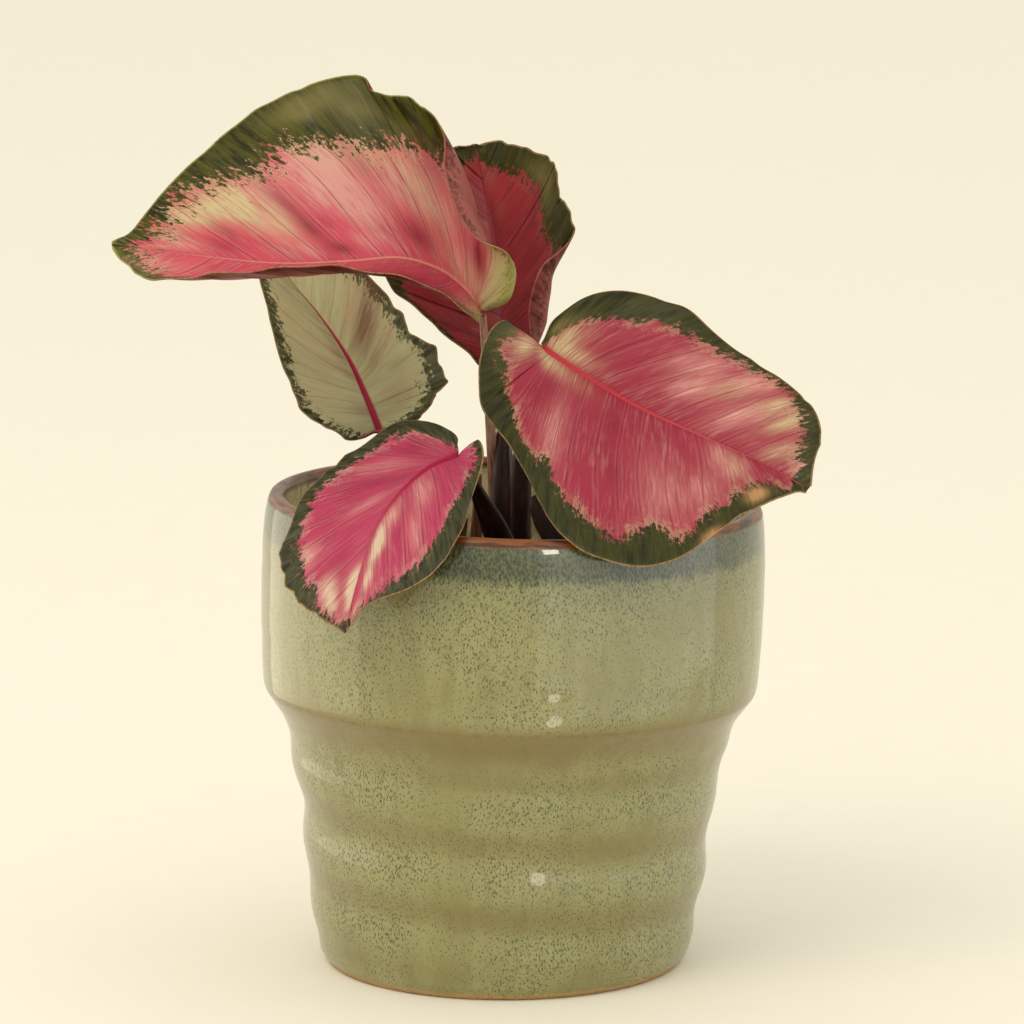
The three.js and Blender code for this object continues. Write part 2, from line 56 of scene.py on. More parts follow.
# How fine the meshes are: points round a pot or a stalk, the longest step along a profile in
# millimetres, and how many steps or points a stalk and a midrib have. A curve is measured with so many
# points to each point given, and a blade's edge at so many places.
POT_SIDES = 256
OUTER_STEP = 1.1
LIP_STEP = 0.5
INNER_STEP = 1.6
GROWER_SIDES = 160
GROWER_STEP = 2.5
SOIL_SIDES = 150
SOIL_STEP = 1.4
STALK_SIDES = 28
STALK_STEPS = 70
MIDRIB_POINTS = 400
CURVE_FINENESS = 80
EDGE_FINENESS = 4000

# Where the glaze of the cover pot changes, as heights in millimetres: the bare foot, the brown painted
# shade on the downward-facing slope under the shoulder, the band under the rim with its fringe, and the
# lip. The brim is a thin brown line on the shoulder, given by its middle and its reach.
FOOT_EDGE = (2.2, 1.4)
SHADED_HOLLOW_START = (65.5, 75.0)
SHADED_HOLLOW_END = (84.0, 78.5)
BRIM = (79.4, 1.0)
FRINGE_EDGE = (104.0, 124.0)
BAND_EDGE = (120.5, 124.5)
LIP_EDGE = (131.3, 132.1)
INNER_EDGE = (131.4, 130.2)
# How thick the clear coat of the glaze is, and how far apart its two sizes of specks lie in millimetres.
GLAZE_COAT = 0.7
LARGE_CELL = 0.8
SMALL_CELL = 0.52
# The height over which the throwing rings fade out below the shoulder, in metres.
RING_FADE = 0.012

# The soil's surface in millimetres: the heights between which its lumps rise, the height above which
# crumbs lie on it, and how high its swells and its lumps are.
SOIL_TOP = (99, 101)
CRUMBS_ABOVE = 99.5
SWELL_HEIGHT = 1.1
LUMP_HEIGHT = 0.6

# A blade's waves fade in over this share of its edge, its side veins are spread evenly by this share,
# and the markings of its left half are taken this many millimetres away from those of its right half.
SIDES = ("left", "right")
WAVE_FADE = 0.08
VEIN_SPREAD = 0.03
HALF_OFFSET = 400.0
# A blade's columns of faces lie closer together near the midrib by this power.
COLUMN_POWER = 1.25
# A blade's section in millimetres: the groove over the midrib and the ridge under it, which lose a
# share of their size by the tip. Towards the midrib, so far out, each skin gains a share of the
# blade's thickness, and the rim stands out by a share of half of it.
GROOVE_DEPTH = 0.3
GROOVE_WIDTH = 0.9
RIDGE_WIDTH = 1.3
RIB_TAPER = 0.75
THICK_GAIN = 0.35
THICK_REACH = 8
RIM_SHARE = 0.8
# What a blade's mesh keeps at its points for its markings, and the sockets that read it.
BLADE_VALUES = {
    "vein_map": ("run", "out", "along"),
    "border": ("margin", "edge"),
    "paint": ("cream", "deep", "olive"),
    "wear": ("tan", "pale"),
}
BLADE_PLACES = {"Vein Map": "vein_map", "Border": "border", "Paint": "paint", "Wear": "wear"}
PAINTS = ("cream", "deep", "olive", "tan", "pale")
PATTERN_COLOURS = (
    "Face", "Shadow", "Pale", "Cream", "Margin", "Margin Shade", "Fleck", "Olive", "Midrib", "Edge",
)
PATTERN_NUMBERS = {
    "Raggedness": 1.0, "Vein Pitch": 8.0, "Vein Strength": 0.5, "Streaks": 1.0, "Mottle": 0.5,
    "Midrib Width": 1.2,
}
# How deep the bumps of each finish are, in metres, and how far each skin mirrors.
BLADE_RELIEF = 0.00025
STALK_RELIEF = 0.0003
GLAZE_RELIEF = 0.00025
SOIL_RELIEF = 0.0012
PLASTIC_RELIEF = 0.00015
UPPER_SKIN = {"Specular IOR Level": 0.18, "Coat Weight": 0.05, "Coat Roughness": 0.2}
UNDER_SKIN = {"Specular IOR Level": 0.08}
STALK_SKIN = {"Specular IOR Level": 0.3}
# The groove of a stalk lies at this angle, and is this wide as the sine of half an angle.
GROOVE_ANGLE = -np.pi / 2
GROOVE_SPAN = 0.25

# The camera and the photograph's frame, in pixels, millimetres and degrees.
IMAGE_PIXELS = 1024
FOCAL_PIXELS = 5600
SENSOR_WIDTH = 36.0
CAMERA_TARGET = (2.15, 0, 129.5)
CAMERA_DISTANCE = 1590
CAMERA_PITCH = 10
# Half the floor's side, the point that the main light faces, where it stands and its size, in metres.
FLOOR_REACH = 14.0
LIGHT_TARGET = (0, 0, 0.13)
KEY_PLACE = (-1.0, -1.2, 1.7)
KEY_SIZE = (1.2, 1.2)
WARM = "fff1dd"
COOL = "dfeafa"
# Lights that gloss alone shows: bearing round the pot in degrees, then in metres the distance, the
# height, the height faced, and the width and height; the setting of the brightness, colour and shape.
PANELS = [
    ("front_window", 17, 2.6, 0.94, 0.13, (0.34, 0.6), "window_glow", WARM, "RECTANGLE"),
    ("side_window", 84, 2.2, 0.81, 0.13, (0.4, 0.8), "window_glow", WARM, "RECTANGLE"),
    ("cool_panel", 54, 0.3, 0.2, 0.2, (0.56, 0.4), "panel_glow", COOL, "RECTANGLE"),
    ("front_glint", 17, 0.26, 0.016, 0.016, (0.03, 0.024), "glint_glow", WARM, "ELLIPSE"),
    ("left_panel", -100, 0.25, 0.17, 0.17, (0.34, 0.34), "side_glow", WARM, "RECTANGLE"),
]


def shade(code):
    """A colour written as six hex digits, as the linear values that Blender keeps."""
    parts = [int(code[place : place + 2], 16) / 255 for place in (0, 2, 4)]
    linear = [part / 12.92 if part <= 0.04045 else ((part + 0.055) / 1.055) ** 2.4 for part in parts]
    return (*linear, 1.0)


def colour_value(name, description, code):
    """A colour that the user may change."""
    return FloatVectorProperty(
        name=name,
        description=description,
        subtype="COLOR",
        size=4,
        min=0.0,
        max=1.0,
        default=shade(code),
    )


def number_value(name, description, value, unit="NONE"):
    """A number that the user may change."""
    return FloatProperty(name=name, description=description, default=value, min=0.0, unit=unit)


def length_value(name, description, size):
    """A length in metres that the user may change."""
    return number_value(name, description, size, "LENGTH")


# Cover pot, grower's pot and soil, as radius and height in millimetres. The grower's pot and the soil
# stand off the middle by the shift.
OUTER_PROFILE = [
    (0, 0.7), (41, 0.7), (43.5, 0.3), (45, 0), (49.8, 0), (51.3, 0.9), (52.5, 2.8), (53.4, 5.2),
    (55.2, 16), (56.8, 25.5), (57.6, 35), (58.5, 44), (59.4, 49.5), (61, 56.5), (62.3, 62.5),
    (62.9, 66), (63.7, 69), (65.2, 72.3), (67.2, 75.2), (69, 77.7), (69.7, 78.7), (70.2, 79.9),
    (70.45, 81.4), (70.8, 86), (71.3, 98), (71.5, 108), (71.4, 118), (70.9, 127), (70.2, 131.5),
    (69.4, 133.4),
]
LIP_PROFILE = [(69.4, 133.4), (68.8, 133.85), (68, 134), (67.2, 133.85), (66.6, 133.4)]
INNER_PROFILE = [
    (66.6, 133.4), (65.9, 131.6), (66.1, 112), (65.7, 90), (64.3, 81), (60.6, 74), (58.4, 67),
    (56.6, 56), (49.6, 12), (47, 8.2), (43, 7), (22, 7), (0, 7),
]
GROWER_PROFILE = [
    (0, 7.3), (41.8, 7.3), (42.7, 7.7), (43, 8.5), (56.4, 95.6), (57, 96.3), (58.9, 96.5), (59.5, 97),
    (59.6, 98), (59.6, 106), (59.4, 106.8), (59, 107), (58.6, 106.9), (58.4, 106.5), (58.4, 98.4),
    (57.9, 97.5), (55.2, 97.2), (54.6, 95.6), (41.8, 9.7), (40.6, 8.6), (0, 8.5),
]
SOIL_PROFILE = [
    (0, 102.4), (9, 102.3), (20, 102), (31, 102), (42, 101.4), (50, 100.9), (53.4, 100.2), (54.4, 99),
    (54.5, 96), (52, 80), (0, 80),
]
GROWER_SHIFT_X = 1.2

# Blades, in millimetres. Each edge row runs from the joint round one half to the tip and gives where
# its side vein leaves the midrib (0 at the joint, 1 at the tip), the edge point, and how far the vein
# bellies from a straight line. Left and right are seen on the upper face with the tip up.
# A ripple gives the height of the edge's waves, how many there are, and where the first one starts.
BLADES = {
    "leaf_1": {
        "midrib": [
            (-6.5, -2, 187), (-11, -6, 194), (-18.5, -12, 200.5), (-29, -19, 204.5),
            (-42.5, -26, 204.5), (-62, -34, 205), (-83.5, -41, 208), (-107, -46, 211.5),
        ],
        "face": (0.1, -0.8, 0.5),
        "ripple": {"left": (0, 5, 0), "right": (0.8, 5, 0.1)},
        "left": [
            (0, -7, -4, 187, 0, 0, 0), (0, -7.5, -8, 185, 0, 0, 0), (0.01, -9.5, -15, 188.5, 0, 0, -2),
            (0.04, -15, -26, 194, 1, 0, -3), (0.09, -23, -38, 200, 1, -1, -4),
            (0.16, -35, -50, 205, 2, -1, -5), (0.26, -50, -59, 207.5, 2, -2, -5),
            (0.37, -64.5, -64, 207.5, 2, -2, -5), (0.5, -78, -65, 206, 2, -2, -4),
            (0.65, -90, -62, 204.5, 1, -1, -3), (0.8, -98.5, -57, 204.5, 0, -1, -1),
            (0.92, -103.5, -51, 207.5, 0, 0, 0), (1, -107, -46.5, 211, 0, 0, 0),
        ],
        "right": [
            (0, -5.5, -3, 188.5, 0, -1, 0), (0, -1, -4, 189.5, 0, -3, 1), (0, 2.5, -6, 192.5, 1, -4, 2),
            (0.01, 3.5, -10, 199.5, 3, -4, 2), (0.01, -0.5, -18, 207, 6, -2, 4),
            (0.02, -7.5, -24, 211.5, 9, 2, 6), (0.02, -13.5, -25, 219.5, 11, 5, 8),
            (0.03, -17, -20, 230, 11, 6, 7), (0.04, -17.5, -12, 239.5, 9, 5, 4),
            (0.06, -25.5, -8, 248, 7, 4, 2), (0.09, -37, -6, 250, 5, 3, 1),
            (0.12, -41.5, -5, 254, 4, 3, 1), (0.18, -54, -8, 252, 3, 3, 1),
            (0.27, -67.5, -14, 246, 3, 2, 1), (0.42, -81.5, -22, 236, 2, 2, 1),
            (0.62, -94, -32, 224.5, 1, 1, 0), (0.82, -101.5, -40, 215.5, 0, 0, 0),
            (1, -107, -46, 212.5, 0, 0, 0),
        ],
    },
    "leaf_2": {
        "midrib": [
            (0.5, 12, 170), (0, 14, 179.5), (-1.5, 17, 191), (-3.5, 21, 207.5), (-6, 22, 220),
            (-8, 20, 232),
        ],
        "face": (0.1, -1, 0.1),
        "ripple": {"left": (0.5, 6, 0.3), "right": (0.5, 6, 0.3)},
        "left": [
            (0, -0.5, 11, 170.5, 0, 0, 0), (0, -6.5, 8, 170, 0, 1, 0), (0.02, -11, 7, 174.5, -1, 2, 0),
            (0.05, -18.5, 8, 180.5, -1, 2, 0), (0.1, -26, 10, 187, -2, 2, 0),
            (0.16, -32.5, 12, 193, -2, 2, 0), (0.26, -35, 14, 202.5, -2, 2, -1),
            (0.4, -32.5, 16, 215, -1, 2, -1), (0.56, -27, 18, 224.5, -1, 1, -1),
            (0.74, -19.5, 20, 229.5, 0, 0, 0), (0.9, -13, 20, 231.5, 0, 0, 0),
            (1, -9, 20, 232, 0, 0, 0),
        ],
        "right": [
            (0, 2, 11, 171, 0, 0, 0), (0.02, 7.5, 6, 173, 3, 1, 0), (0.03, 7, 2, 179, 10, 3, 0),
            (0.05, 7, 0, 188, 15, 4, 0), (0.08, 10.5, 2, 199, 13, 4, 0), (0.13, 15, 5, 203, 7, 4, -1),
            (0.2, 19.5, 9, 207.5, 2, 2, -2), (0.28, 18.5, 13, 213.5, 2, 1, -2),
            (0.37, 15, 16, 220.5, 1, 1, -2), (0.48, 14, 18, 228, 1, 1, -2),
            (0.62, 8, 19, 230, 1, 1, -1), (0.8, -0.5, 20, 233, 0, 0, 0), (1, -7, 20, 232, 0, 0, 0),
        ],
    },
    "leaf_3": {
        "midrib": [
            (11, -14, 178.5), (21, -20, 172.5), (37.5, -29, 164), (57, -39, 156.5), (71.5, -47, 151),
            (83, -54, 145.5),
        ],
        "face": (0.2, -0.8, 0.6),
        "ripple": {"left": (0.3, 5, 0.2), "right": (0.3, 5, 0.2)},
        "left": [
            (0, 10.5, -14, 180, 0, 0, 0), (0, 14.5, -14, 187.5, 0, 0, 1),
            (0.01, 22.5, -15, 193, -1, -1, 2), (0.04, 34.5, -17, 195, -1, -1, 2),
            (0.1, 49, -21, 191.5, -1, -2, 3), (0.19, 58, -26, 185, -1, -2, 3),
            (0.31, 67.5, -31, 178, -1, -2, 3), (0.46, 76.5, -36, 173, -1, -2, 2),
            (0.62, 83.5, -41, 168, 0, -2, 2), (0.78, 87, -46, 160.5, 0, -1, 1),
            (0.91, 85, -51, 152.5, 0, 0, 0), (1, 84, -54, 146.5, 0, 0, 0),
        ],
        "right": [
            (0, 9, -15, 178.5, 0, 0, 0), (0, 3.5, -16, 183, 0, -1, 1), (0, -0.5, -17, 186.5, 0, -1, 1),
            (0, -4.5, -20, 183, 0, -2, 1), (0.01, -7, -25, 174.5, -1, -3, 1),
            (0.02, -5.5, -33, 164, -2, -4, 0), (0.04, 1, -42, 156, -3, -5, 0),
            (0.08, 6.5, -53, 148.5, -3, -6, 1), (0.14, 11.5, -64, 140, -2, -6, 2),
            (0.22, 20.5, -73, 132, -2, -6, 2), (0.33, 32, -76, 128.5, -1, -5, 3),
            (0.46, 46.5, -74, 129.5, -1, -4, 3), (0.6, 58, -69, 136, -1, -3, 2),
            (0.76, 71, -62, 143, 0, -2, 1), (0.9, 78.5, -57, 144.5, 0, -1, 0),
            (1, 82.5, -54, 144.5, 0, 0, 0),
        ],
    },
    "leaf_4": {
        "midrib": [
            (-35.5, 4, 152.5), (-39.5, 6, 162), (-44.5, 10, 172), (-52.5, 16, 183), (-61.5, 22, 193),
            (-70.5, 28, 206),
        ],
        "face": (-0.1, -1, 0.15),
        "ripple": {"left": (0.6, 4, 0.1), "right": (0.6, 4, 0.1)},
        "left": [
            (0, -36.5, 3, 152.5, 0, 0, 0), (0, -42, 0, 150, 0, 1, 0), (0.02, -48, -2, 153, -1, 1, 0),
            (0.05, -55.5, -2, 158, -1, 1, 0), (0.11, -61, 1, 166, -1, 1, 0),
            (0.2, -65, 6, 178, -1, 1, -1), (0.34, -68.5, 12, 191, -1, 1, -1),
            (0.52, -71, 18, 198.5, 0, 1, -1), (0.76, -72, 24, 203.5, 0, 0, 0),
            (1, -71.5, 28, 206.5, 0, 0, 0),
        ],
        "right": [
            (0, -34.5, 3, 153, 0, 0, 0), (0, -28.5, -1, 154, 0, 2, 0), (0.02, -23, -3, 157.5, 1, 4, 0),
            (0.05, -19.5, -4, 162.5, 1, 5, 0), (0.08, -17, -4, 167.5, 1, 6, -1),
            (0.13, -20, -2, 176.5, 1, 6, -1), (0.19, -26.5, 3, 181, 1, 5, -1),
            (0.28, -34, 9, 191.5, 1, 5, -2), (0.42, -45.5, 17, 201, 1, 3, -2),
            (0.6, -55.5, 22, 206, 0, 2, -1), (0.8, -64, 26, 208, 0, 1, 0), (1, -69.5, 28, 207, 0, 0, 0),
        ],
    },
    "leaf_5": {
        "midrib": [
            (-12.5, -38, 152), (-20.5, -46, 150), (-28.5, -56, 144.5), (-35, -65, 136),
            (-39.5, -73, 123.5), (-43, -77, 110),
        ],
        "face": (-0.2, -0.8, 0.5),
        "ripple": {"left": (0.5, 5, 0), "right": (0.5, 5, 0)},
        "left": [
            (0, -11.5, -38, 151.5, 0, 0, 0), (0, -9, -38, 153.5, 0, 0, 0),
            (0, -7, -38, 156.5, 0, -1, 1), (0.01, -6, -46, 151.5, 0, -2, 0),
            (0.04, -9, -60, 143.5, 1, -2, 1), (0.11, -12, -71, 135.5, 1, -3, 2),
            (0.21, -17, -77, 129, 1, -3, 2), (0.35, -25, -79, 122.5, 1, -3, 1),
            (0.52, -33, -79, 120, 0, -2, 1), (0.72, -38.5, -78, 116.5, 0, -1, 0),
            (0.88, -41, -77, 113, 0, 0, 0), (1, -42.5, -77, 110.5, 0, 0, 0),
        ],
        "right": [
            (0, -13.5, -37, 152.5, 0, 0, 0), (0, -14, -34, 157, 0, -1, 1),
            (0, -20.5, -32, 160, 0, -1, 1), (0.02, -31, -32, 160, -1, -1, 2),
            (0.05, -40, -36, 154, -1, -2, 2), (0.1, -48, -41, 148.5, -1, -2, 2),
            (0.17, -55.5, -48, 142, -1, -2, 1), (0.26, -60.5, -57, 131, -1, -2, 1),
            (0.4, -60, -64, 122.5, -1, -2, 1), (0.58, -54.5, -71, 116, 0, -1, 1),
            (0.8, -48, -75, 112.5, 0, 0, 0), (1, -43.5, -77, 110, 0, 0, 0),
        ],
    },
}

# Where the green border begins on each half: place round the edge, and share of the way from the
# midrib to the edge.
MARGINS = {
    "leaf_1": {
        "left": [
            (0, 0.5), (0.1, 0.5), (0.3, 0.78), (0.5, 0.84), (0.7, 0.8), (0.86, 0.7), (0.93, 0.5),
            (1, 0.3),
        ],
        "right": [
            (0, 0.3), (0.06, 0.5), (0.12, 0.62), (0.2, 0.66), (0.25, 0.88), (0.35, 0.94), (0.45, 0.9),
            (0.5, 0.75), (0.537, 0.64), (0.56, 0.68), (0.593, 0.72), (0.64, 0.66), (0.682, 0.62),
            (0.735, 0.69), (0.767, 0.74), (0.787, 0.76), (0.815, 0.72), (0.834, 0.74), (0.85, 0.81),
            (0.867, 0.87), (0.888, 0.85), (0.916, 0.75), (0.949, 0.58), (1, 0.4),
        ],
    },
    "leaf_2": {
        "left": [
            (0, 0.5), (0.17, 0.85), (0.3, 0.9), (0.5, 0.86), (0.7, 0.8), (0.85, 0.6), (0.92, 0.3),
            (1, 0.1),
        ],
        "right": [
            (0, 0.6), (0.2, 0.75), (0.32, 0.82), (0.45, 0.8), (0.55, 0.72), (0.59, 0.66), (0.63, 0.68),
            (0.68, 0.72), (0.77, 0.73), (0.84, 0.69), (0.9, 0.5), (0.95, 0.3), (1, 0.1),
        ],
    },
    "leaf_3": {
        "left": [
            (0, 0.05), (0.14, 0.12), (0.2, 0.3), (0.265, 0.5), (0.334, 0.6), (0.409, 0.78), (0.508, 0.9),
            (0.602, 0.93), (0.677, 0.95), (0.765, 0.86), (0.831, 0.72), (0.915, 0.5), (1, 0.25),
        ],
        "right": [
            (0, 0.2), (0.1, 0.4), (0.18, 0.62), (0.225, 0.74), (0.298, 0.57), (0.364, 0.64),
            (0.416, 0.78), (0.47, 0.8), (0.515, 0.68), (0.54, 0.78), (0.596, 0.8), (0.632, 0.84),
            (0.657, 0.86), (0.691, 0.8), (0.705, 0.75), (0.744, 0.89), (0.779, 0.83), (0.811, 0.79),
            (0.841, 0.68), (0.892, 0.6), (0.93, 0.8), (1, 0.6),
        ],
    },
    "leaf_4": {
        "left": [
            (0, 0.55), (0.1, 0.6), (0.216, 0.8), (0.374, 0.86), (0.464, 0.9), (0.57, 0.86), (0.668, 0.87),
            (0.8, 0.8), (0.9, 0.6), (1, 0.3),
        ],
        "right": [
            (0, 0.45), (0.178, 0.5), (0.232, 0.7), (0.3, 0.75), (0.382, 0.74), (0.484, 0.87),
            (0.557, 0.86), (0.651, 0.86), (0.8, 0.8), (0.9, 0.6), (1, 0.3),
        ],
    },
    "leaf_5": {
        "left": [
            (0, 0.3), (0.2, 0.7), (0.28, 0.75), (0.339, 0.62), (0.444, 0.62), (0.531, 0.71),
            (0.608, 0.81), (0.671, 0.83), (0.731, 0.89), (0.794, 0.96), (0.89, 0.97), (1, 0.95),
        ],
        "right": [
            (0, 0.1), (0.14, 0.3), (0.2, 0.35), (0.26, 0.6), (0.297, 0.73), (0.355, 0.78), (0.455, 0.81),
            (0.54, 0.86), (0.65, 0.85), (0.721, 0.83), (0.808, 0.84), (0.883, 0.88), (0.968, 0.85),
            (1, 0.8),
        ],
    },
}

# Painted patches, by half and paint: place round the edge, share of the way from midrib to edge, reach
# along the edge in millimetres, reach as a share of the half's width, and strength.
PATCHES = {
    "leaf_1": {
        "left": {
            "cream": [(0.1, 0.4, 14, 0.4, 1.0)],
            "pale": [(0.88, 0.5, 10, 0.3, 0.6)],
            # Painted shade: this deep patch darkens the left half where it turns down under the midrib, on
            # both skins.
            "deep": [(0.42, 0.9, 27, 0.6, 2.6)],
            "olive": [(0.88, 0.8, 8, 0.2, 0.9)],
            "tan": [(0.04, 0.7, 7, 0.5, 1.0)],
        },
        "right": {
            "cream": [
                (0.862, 0.64, 8, 0.16, 1.0), (0.889, 0.7, 6, 0.16, 1.1), (0.85, 0.6, 6, 0.22, 0.7),
                (0.842, 0.38, 6, 0.14, 0.6), (0.7, 0.6, 12, 0.1, 0.5), (0.614, 0.42, 7, 0.2, 0.5),
                (0.46, 0.1, 22, 0.12, 0.6), (0.17, 0.42, 14, 0.34, 1.0), (0.24, 0.55, 7, 0.4, 1.1),
                (0.1, 0.3, 14, 0.4, 1.1), (0.95, 0.3, 9, 0.12, 0.4),
            ],
            "pale": [
                (0.769, 0.62, 11, 0.2, 1.1), (0.774, 0.49, 7, 0.18, 1.0), (0.762, 0.31, 7, 0.12, 0.9),
                (0.66, 0.4, 12, 0.12, 0.9), (0.832, 0.66, 5, 0.16, 0.7), (0.842, 0.4, 5, 0.14, 0.8),
                (0.852, 0.14, 7, 0.1, 0.6), (0.781, 0.13, 7, 0.07, 0.6), (0.61, 0.34, 10, 0.3, 0.4),
                (0.93, 0.4, 5, 0.3, 0.6), (0.5, 0.5, 10, 0.2, 0.5),
            ],
            "deep": [
                (0.698, 0.16, 5, 0.08, 1.1), (0.816, 0.1, 4, 0.06, 1.0), (0.823, 0.44, 2.4, 0.2, 0.9),
                (0.826, 0.25, 2.6, 0.12, 0.8), (0.898, 0.26, 2.6, 0.14, 0.9), (0.88, 0.44, 2, 0.16, 0.7),
                (0.723, 0.59, 3, 0.12, 0.5), (0.555, 0.6, 4, 0.16, 0.5), (0.437, 0.2, 8, 0.1, 0.8),
                (0.36, 0.25, 8, 0.12, 0.5), (0.44, 0.26, 3.5, 0.07, 1.3),
            ],
            # The olive patches near the tip lie along the pleat: partly worn beige-green border, partly
            # painted highlight along its ridge.
            "olive": [
                (0.714, 0.93, 9, 0.06, 1.1), (0.745, 0.9, 6, 0.05, 0.9), (0.68, 0.83, 5, 0.06, 0.8),
                (0.6, 0.8, 6, 0.06, 0.5),
            ],
            "tan": [(0.15, 0.75, 12, 0.45, 1.4)],
        },
    },
    "leaf_2": {
        "left": {
            "pale": [(0.88, 0.55, 6, 0.2, 0.5)],
        },
        "right": {
            "pale": [(0.94, 0.2, 6, 0.3, 0.6), (0.84, 0.22, 3, 0.1, 0.3)],
            "deep": [
                (0.834, 0.04, 8, 0.1, 0.7), (0.645, 0.5, 9, 0.2, 0.7), (0.754, 0.3, 5, 0.2, 0.4),
                (0.722, 0.7, 3, 0.14, 0.5),
            ],
            "olive": [(0.747, 0.85, 8, 0.12, 0.9)],
        },
    },
    "leaf_3": {
        "left": {
            "cream": [
                (0.719, 0.75, 3, 0.2, 0.9), (0.771, 0.68, 2.4, 0.24, 1.0), (0.63, 0.6, 4, 0.14, 0.5),
                (0.84, 0.4, 2.4, 0.3, 0.7), (0.24, 0.2, 7, 0.2, 1.0), (0.33, 0.1, 10, 0.08, 0.8),
            ],
            "pale": [
                (0.633, 0.8, 5, 0.16, 0.9), (0.71, 0.4, 4, 0.26, 0.9), (0.537, 0.66, 6, 0.2, 0.8),
                (0.593, 0.42, 5, 0.16, 0.9), (0.93, 0.6, 4, 0.3, 0.8),
            ],
            "deep": [(0.546, 0.49, 3, 0.2, 0.4), (0.42, 0.3, 4, 0.2, 0.4)],
            "olive": [(0.17, 0.4, 6, 0.2, 1.0)],
        },
        "right": {
            "cream": [(0.843, 0.34, 3, 0.2, 0.4), (0.2, 0.34, 6, 0.18, 1.0), (0.35, 0.07, 22, 0.07, 0.9)],
            "pale": [
                (0.83, 0.25, 5, 0.26, 0.7), (0.721, 0.56, 7, 0.24, 0.45), (0.788, 0.62, 5, 0.2, 0.45),
                (0.509, 0.5, 5, 0.24, 0.6),
            ],
            "deep": [
                (0.43, 0.36, 3.4, 0.09, 0.7), (0.444, 0.25, 5, 0.06, 0.6), (0.638, 0.21, 3, 0.14, 0.8),
                (0.649, 0.5, 2.4, 0.1, 0.8),
            ],
            "olive": [(0.14, 0.5, 8, 0.3, 0.8)],
            "tan": [(0.861, 0.82, 2.6, 0.1, 2.2), (0.79, 1.0, 2.6, 0.05, 1.5)],
        },
    },
    "leaf_4": {
        "left": {
            "cream": [(0.39, 0.56, 8, 0.3, 0.5), (0.66, 0.7, 8, 0.3, 0.4)],
            "pale": [(0.59, 0.5, 14, 0.5, 0.3)],
            "deep": [(0.62, 0.1, 12, 0.1, 0.5), (0.36, 0.1, 5, 0.12, 0.5)],
        },
        "right": {
            "pale": [(0.7, 0.5, 3, 0.3, 0.9), (0.59, 0.72, 4, 0.16, 0.7), (0.42, 0.5, 4, 0.2, 0.4)],
            "deep": [
                (0.661, 0.66, 3.4, 0.4, 1.4), (0.64, 0.4, 4, 0.24, 0.9), (0.58, 0.36, 5, 0.24, 0.5),
                (0.5, 0.55, 3, 0.2, 0.4),
            ],
        },
    },
    "leaf_5": {
        "left": {
            "cream": [
                (0.73, 0.24, 2.6, 0.14, 1.7), (0.748, 0.3, 2.6, 0.12, 1.6), (0.786, 0.53, 3, 0.16, 1.3),
                (0.87, 0.8, 3, 0.16, 0.9),
            ],
            "pale": [(0.679, 0.14, 4, 0.1, 0.9), (0.56, 0.2, 4, 0.16, 0.8), (0.611, 0.5, 3, 0.2, 0.6)],
            "deep": [(0.64, 0.2, 3, 0.1, 0.4)],
        },
        "right": {
            "cream": [
                (0.89, 0.19, 2.4, 0.18, 1.8), (0.922, 0.17, 3, 0.24, 1.4), (0.838, 0.68, 2.6, 0.12, 1.5),
                (0.88, 0.72, 3, 0.14, 1.4),
            ],
            "pale": [(0.476, 0.45, 4, 0.2, 0.7), (0.72, 0.76, 3, 0.1, 0.9), (0.66, 0.3, 3, 0.16, 0.6)],
            "deep": [
                (0.562, 0.45, 3, 0.2, 0.7), (0.588, 0.15, 3, 0.14, 0.5), (0.791, 0.49, 3, 0.14, 0.5),
                (0.35, 0.4, 5, 0.2, 0.5),
            ],
        },
    },
}

# Notches and bumps of the edge: place round the edge, reach along it as a share, and depth in
# millimetres, which is below nothing for a bump.
NOTCHES = {
    "leaf_1": {
        "right": [
            (0.606, 0.006, 0.9), (0.56, 0.012, 0.5), (0.53, 0.008, -0.5), (0.517, 0.006, 0.6),
            (0.49, 0.01, -0.5), (0.718, 0.01, 0.4), (0.77, 0.012, -0.4), (0.83, 0.012, 0.4),
        ],
        "left": [(0.72, 0.02, 0.5), (0.86, 0.02, -0.5)],
    },
    "leaf_2": {
        "right": [
            (0.758, 0.014, 0.9), (0.7, 0.014, -0.6), (0.639, 0.014, 1.0), (0.58, 0.014, -0.5),
            (0.85, 0.014, -0.5), (0.9, 0.012, 0.6), (0.518, 0.02, -0.7), (0.46, 0.014, 0.5),
        ],
        "left": [(0.3, 0.02, 0.6), (0.42, 0.02, -0.5), (0.6, 0.02, 0.6)],
    },
    "leaf_3": {
        "right": [(0.517, 0.014, 0.6), (0.56, 0.014, -0.4), (0.83, 0.01, 0.5), (0.32, 0.02, -0.5)],
        "left": [(0.34, 0.02, 0.5), (0.55, 0.02, -0.4), (0.72, 0.014, 0.4), (0.86, 0.01, -0.4)],
    },
    "leaf_4": {
        "right": [
            (0.608, 0.012, 0.8), (0.584, 0.01, -0.7), (0.545, 0.014, 0.8), (0.458, 0.014, -0.9),
            (0.42, 0.014, 0.9), (0.359, 0.014, -1.3), (0.31, 0.014, 0.9), (0.243, 0.02, -0.4),
            (0.19, 0.014, 0.5),
        ],
        "left": [
            (0.155, 0.03, -0.9), (0.236, 0.02, 0.4), (0.289, 0.02, 0.9), (0.36, 0.024, -0.8),
            (0.454, 0.02, 0.5), (0.6, 0.02, -0.3),
        ],
    },
    "leaf_5": {
        "right": [
            (0.45, 0.016, 0.7), (0.4, 0.014, -0.6), (0.6, 0.02, 0.5), (0.66, 0.014, -0.9),
            (0.721, 0.01, 0.7), (0.745, 0.008, -0.5), (0.772, 0.01, 0.7), (0.8, 0.008, -0.4),
            (0.861, 0.012, 0.5),
        ],
        "left": [(0.55, 0.02, 0.4), (0.8, 0.02, -0.3)],
    },
}

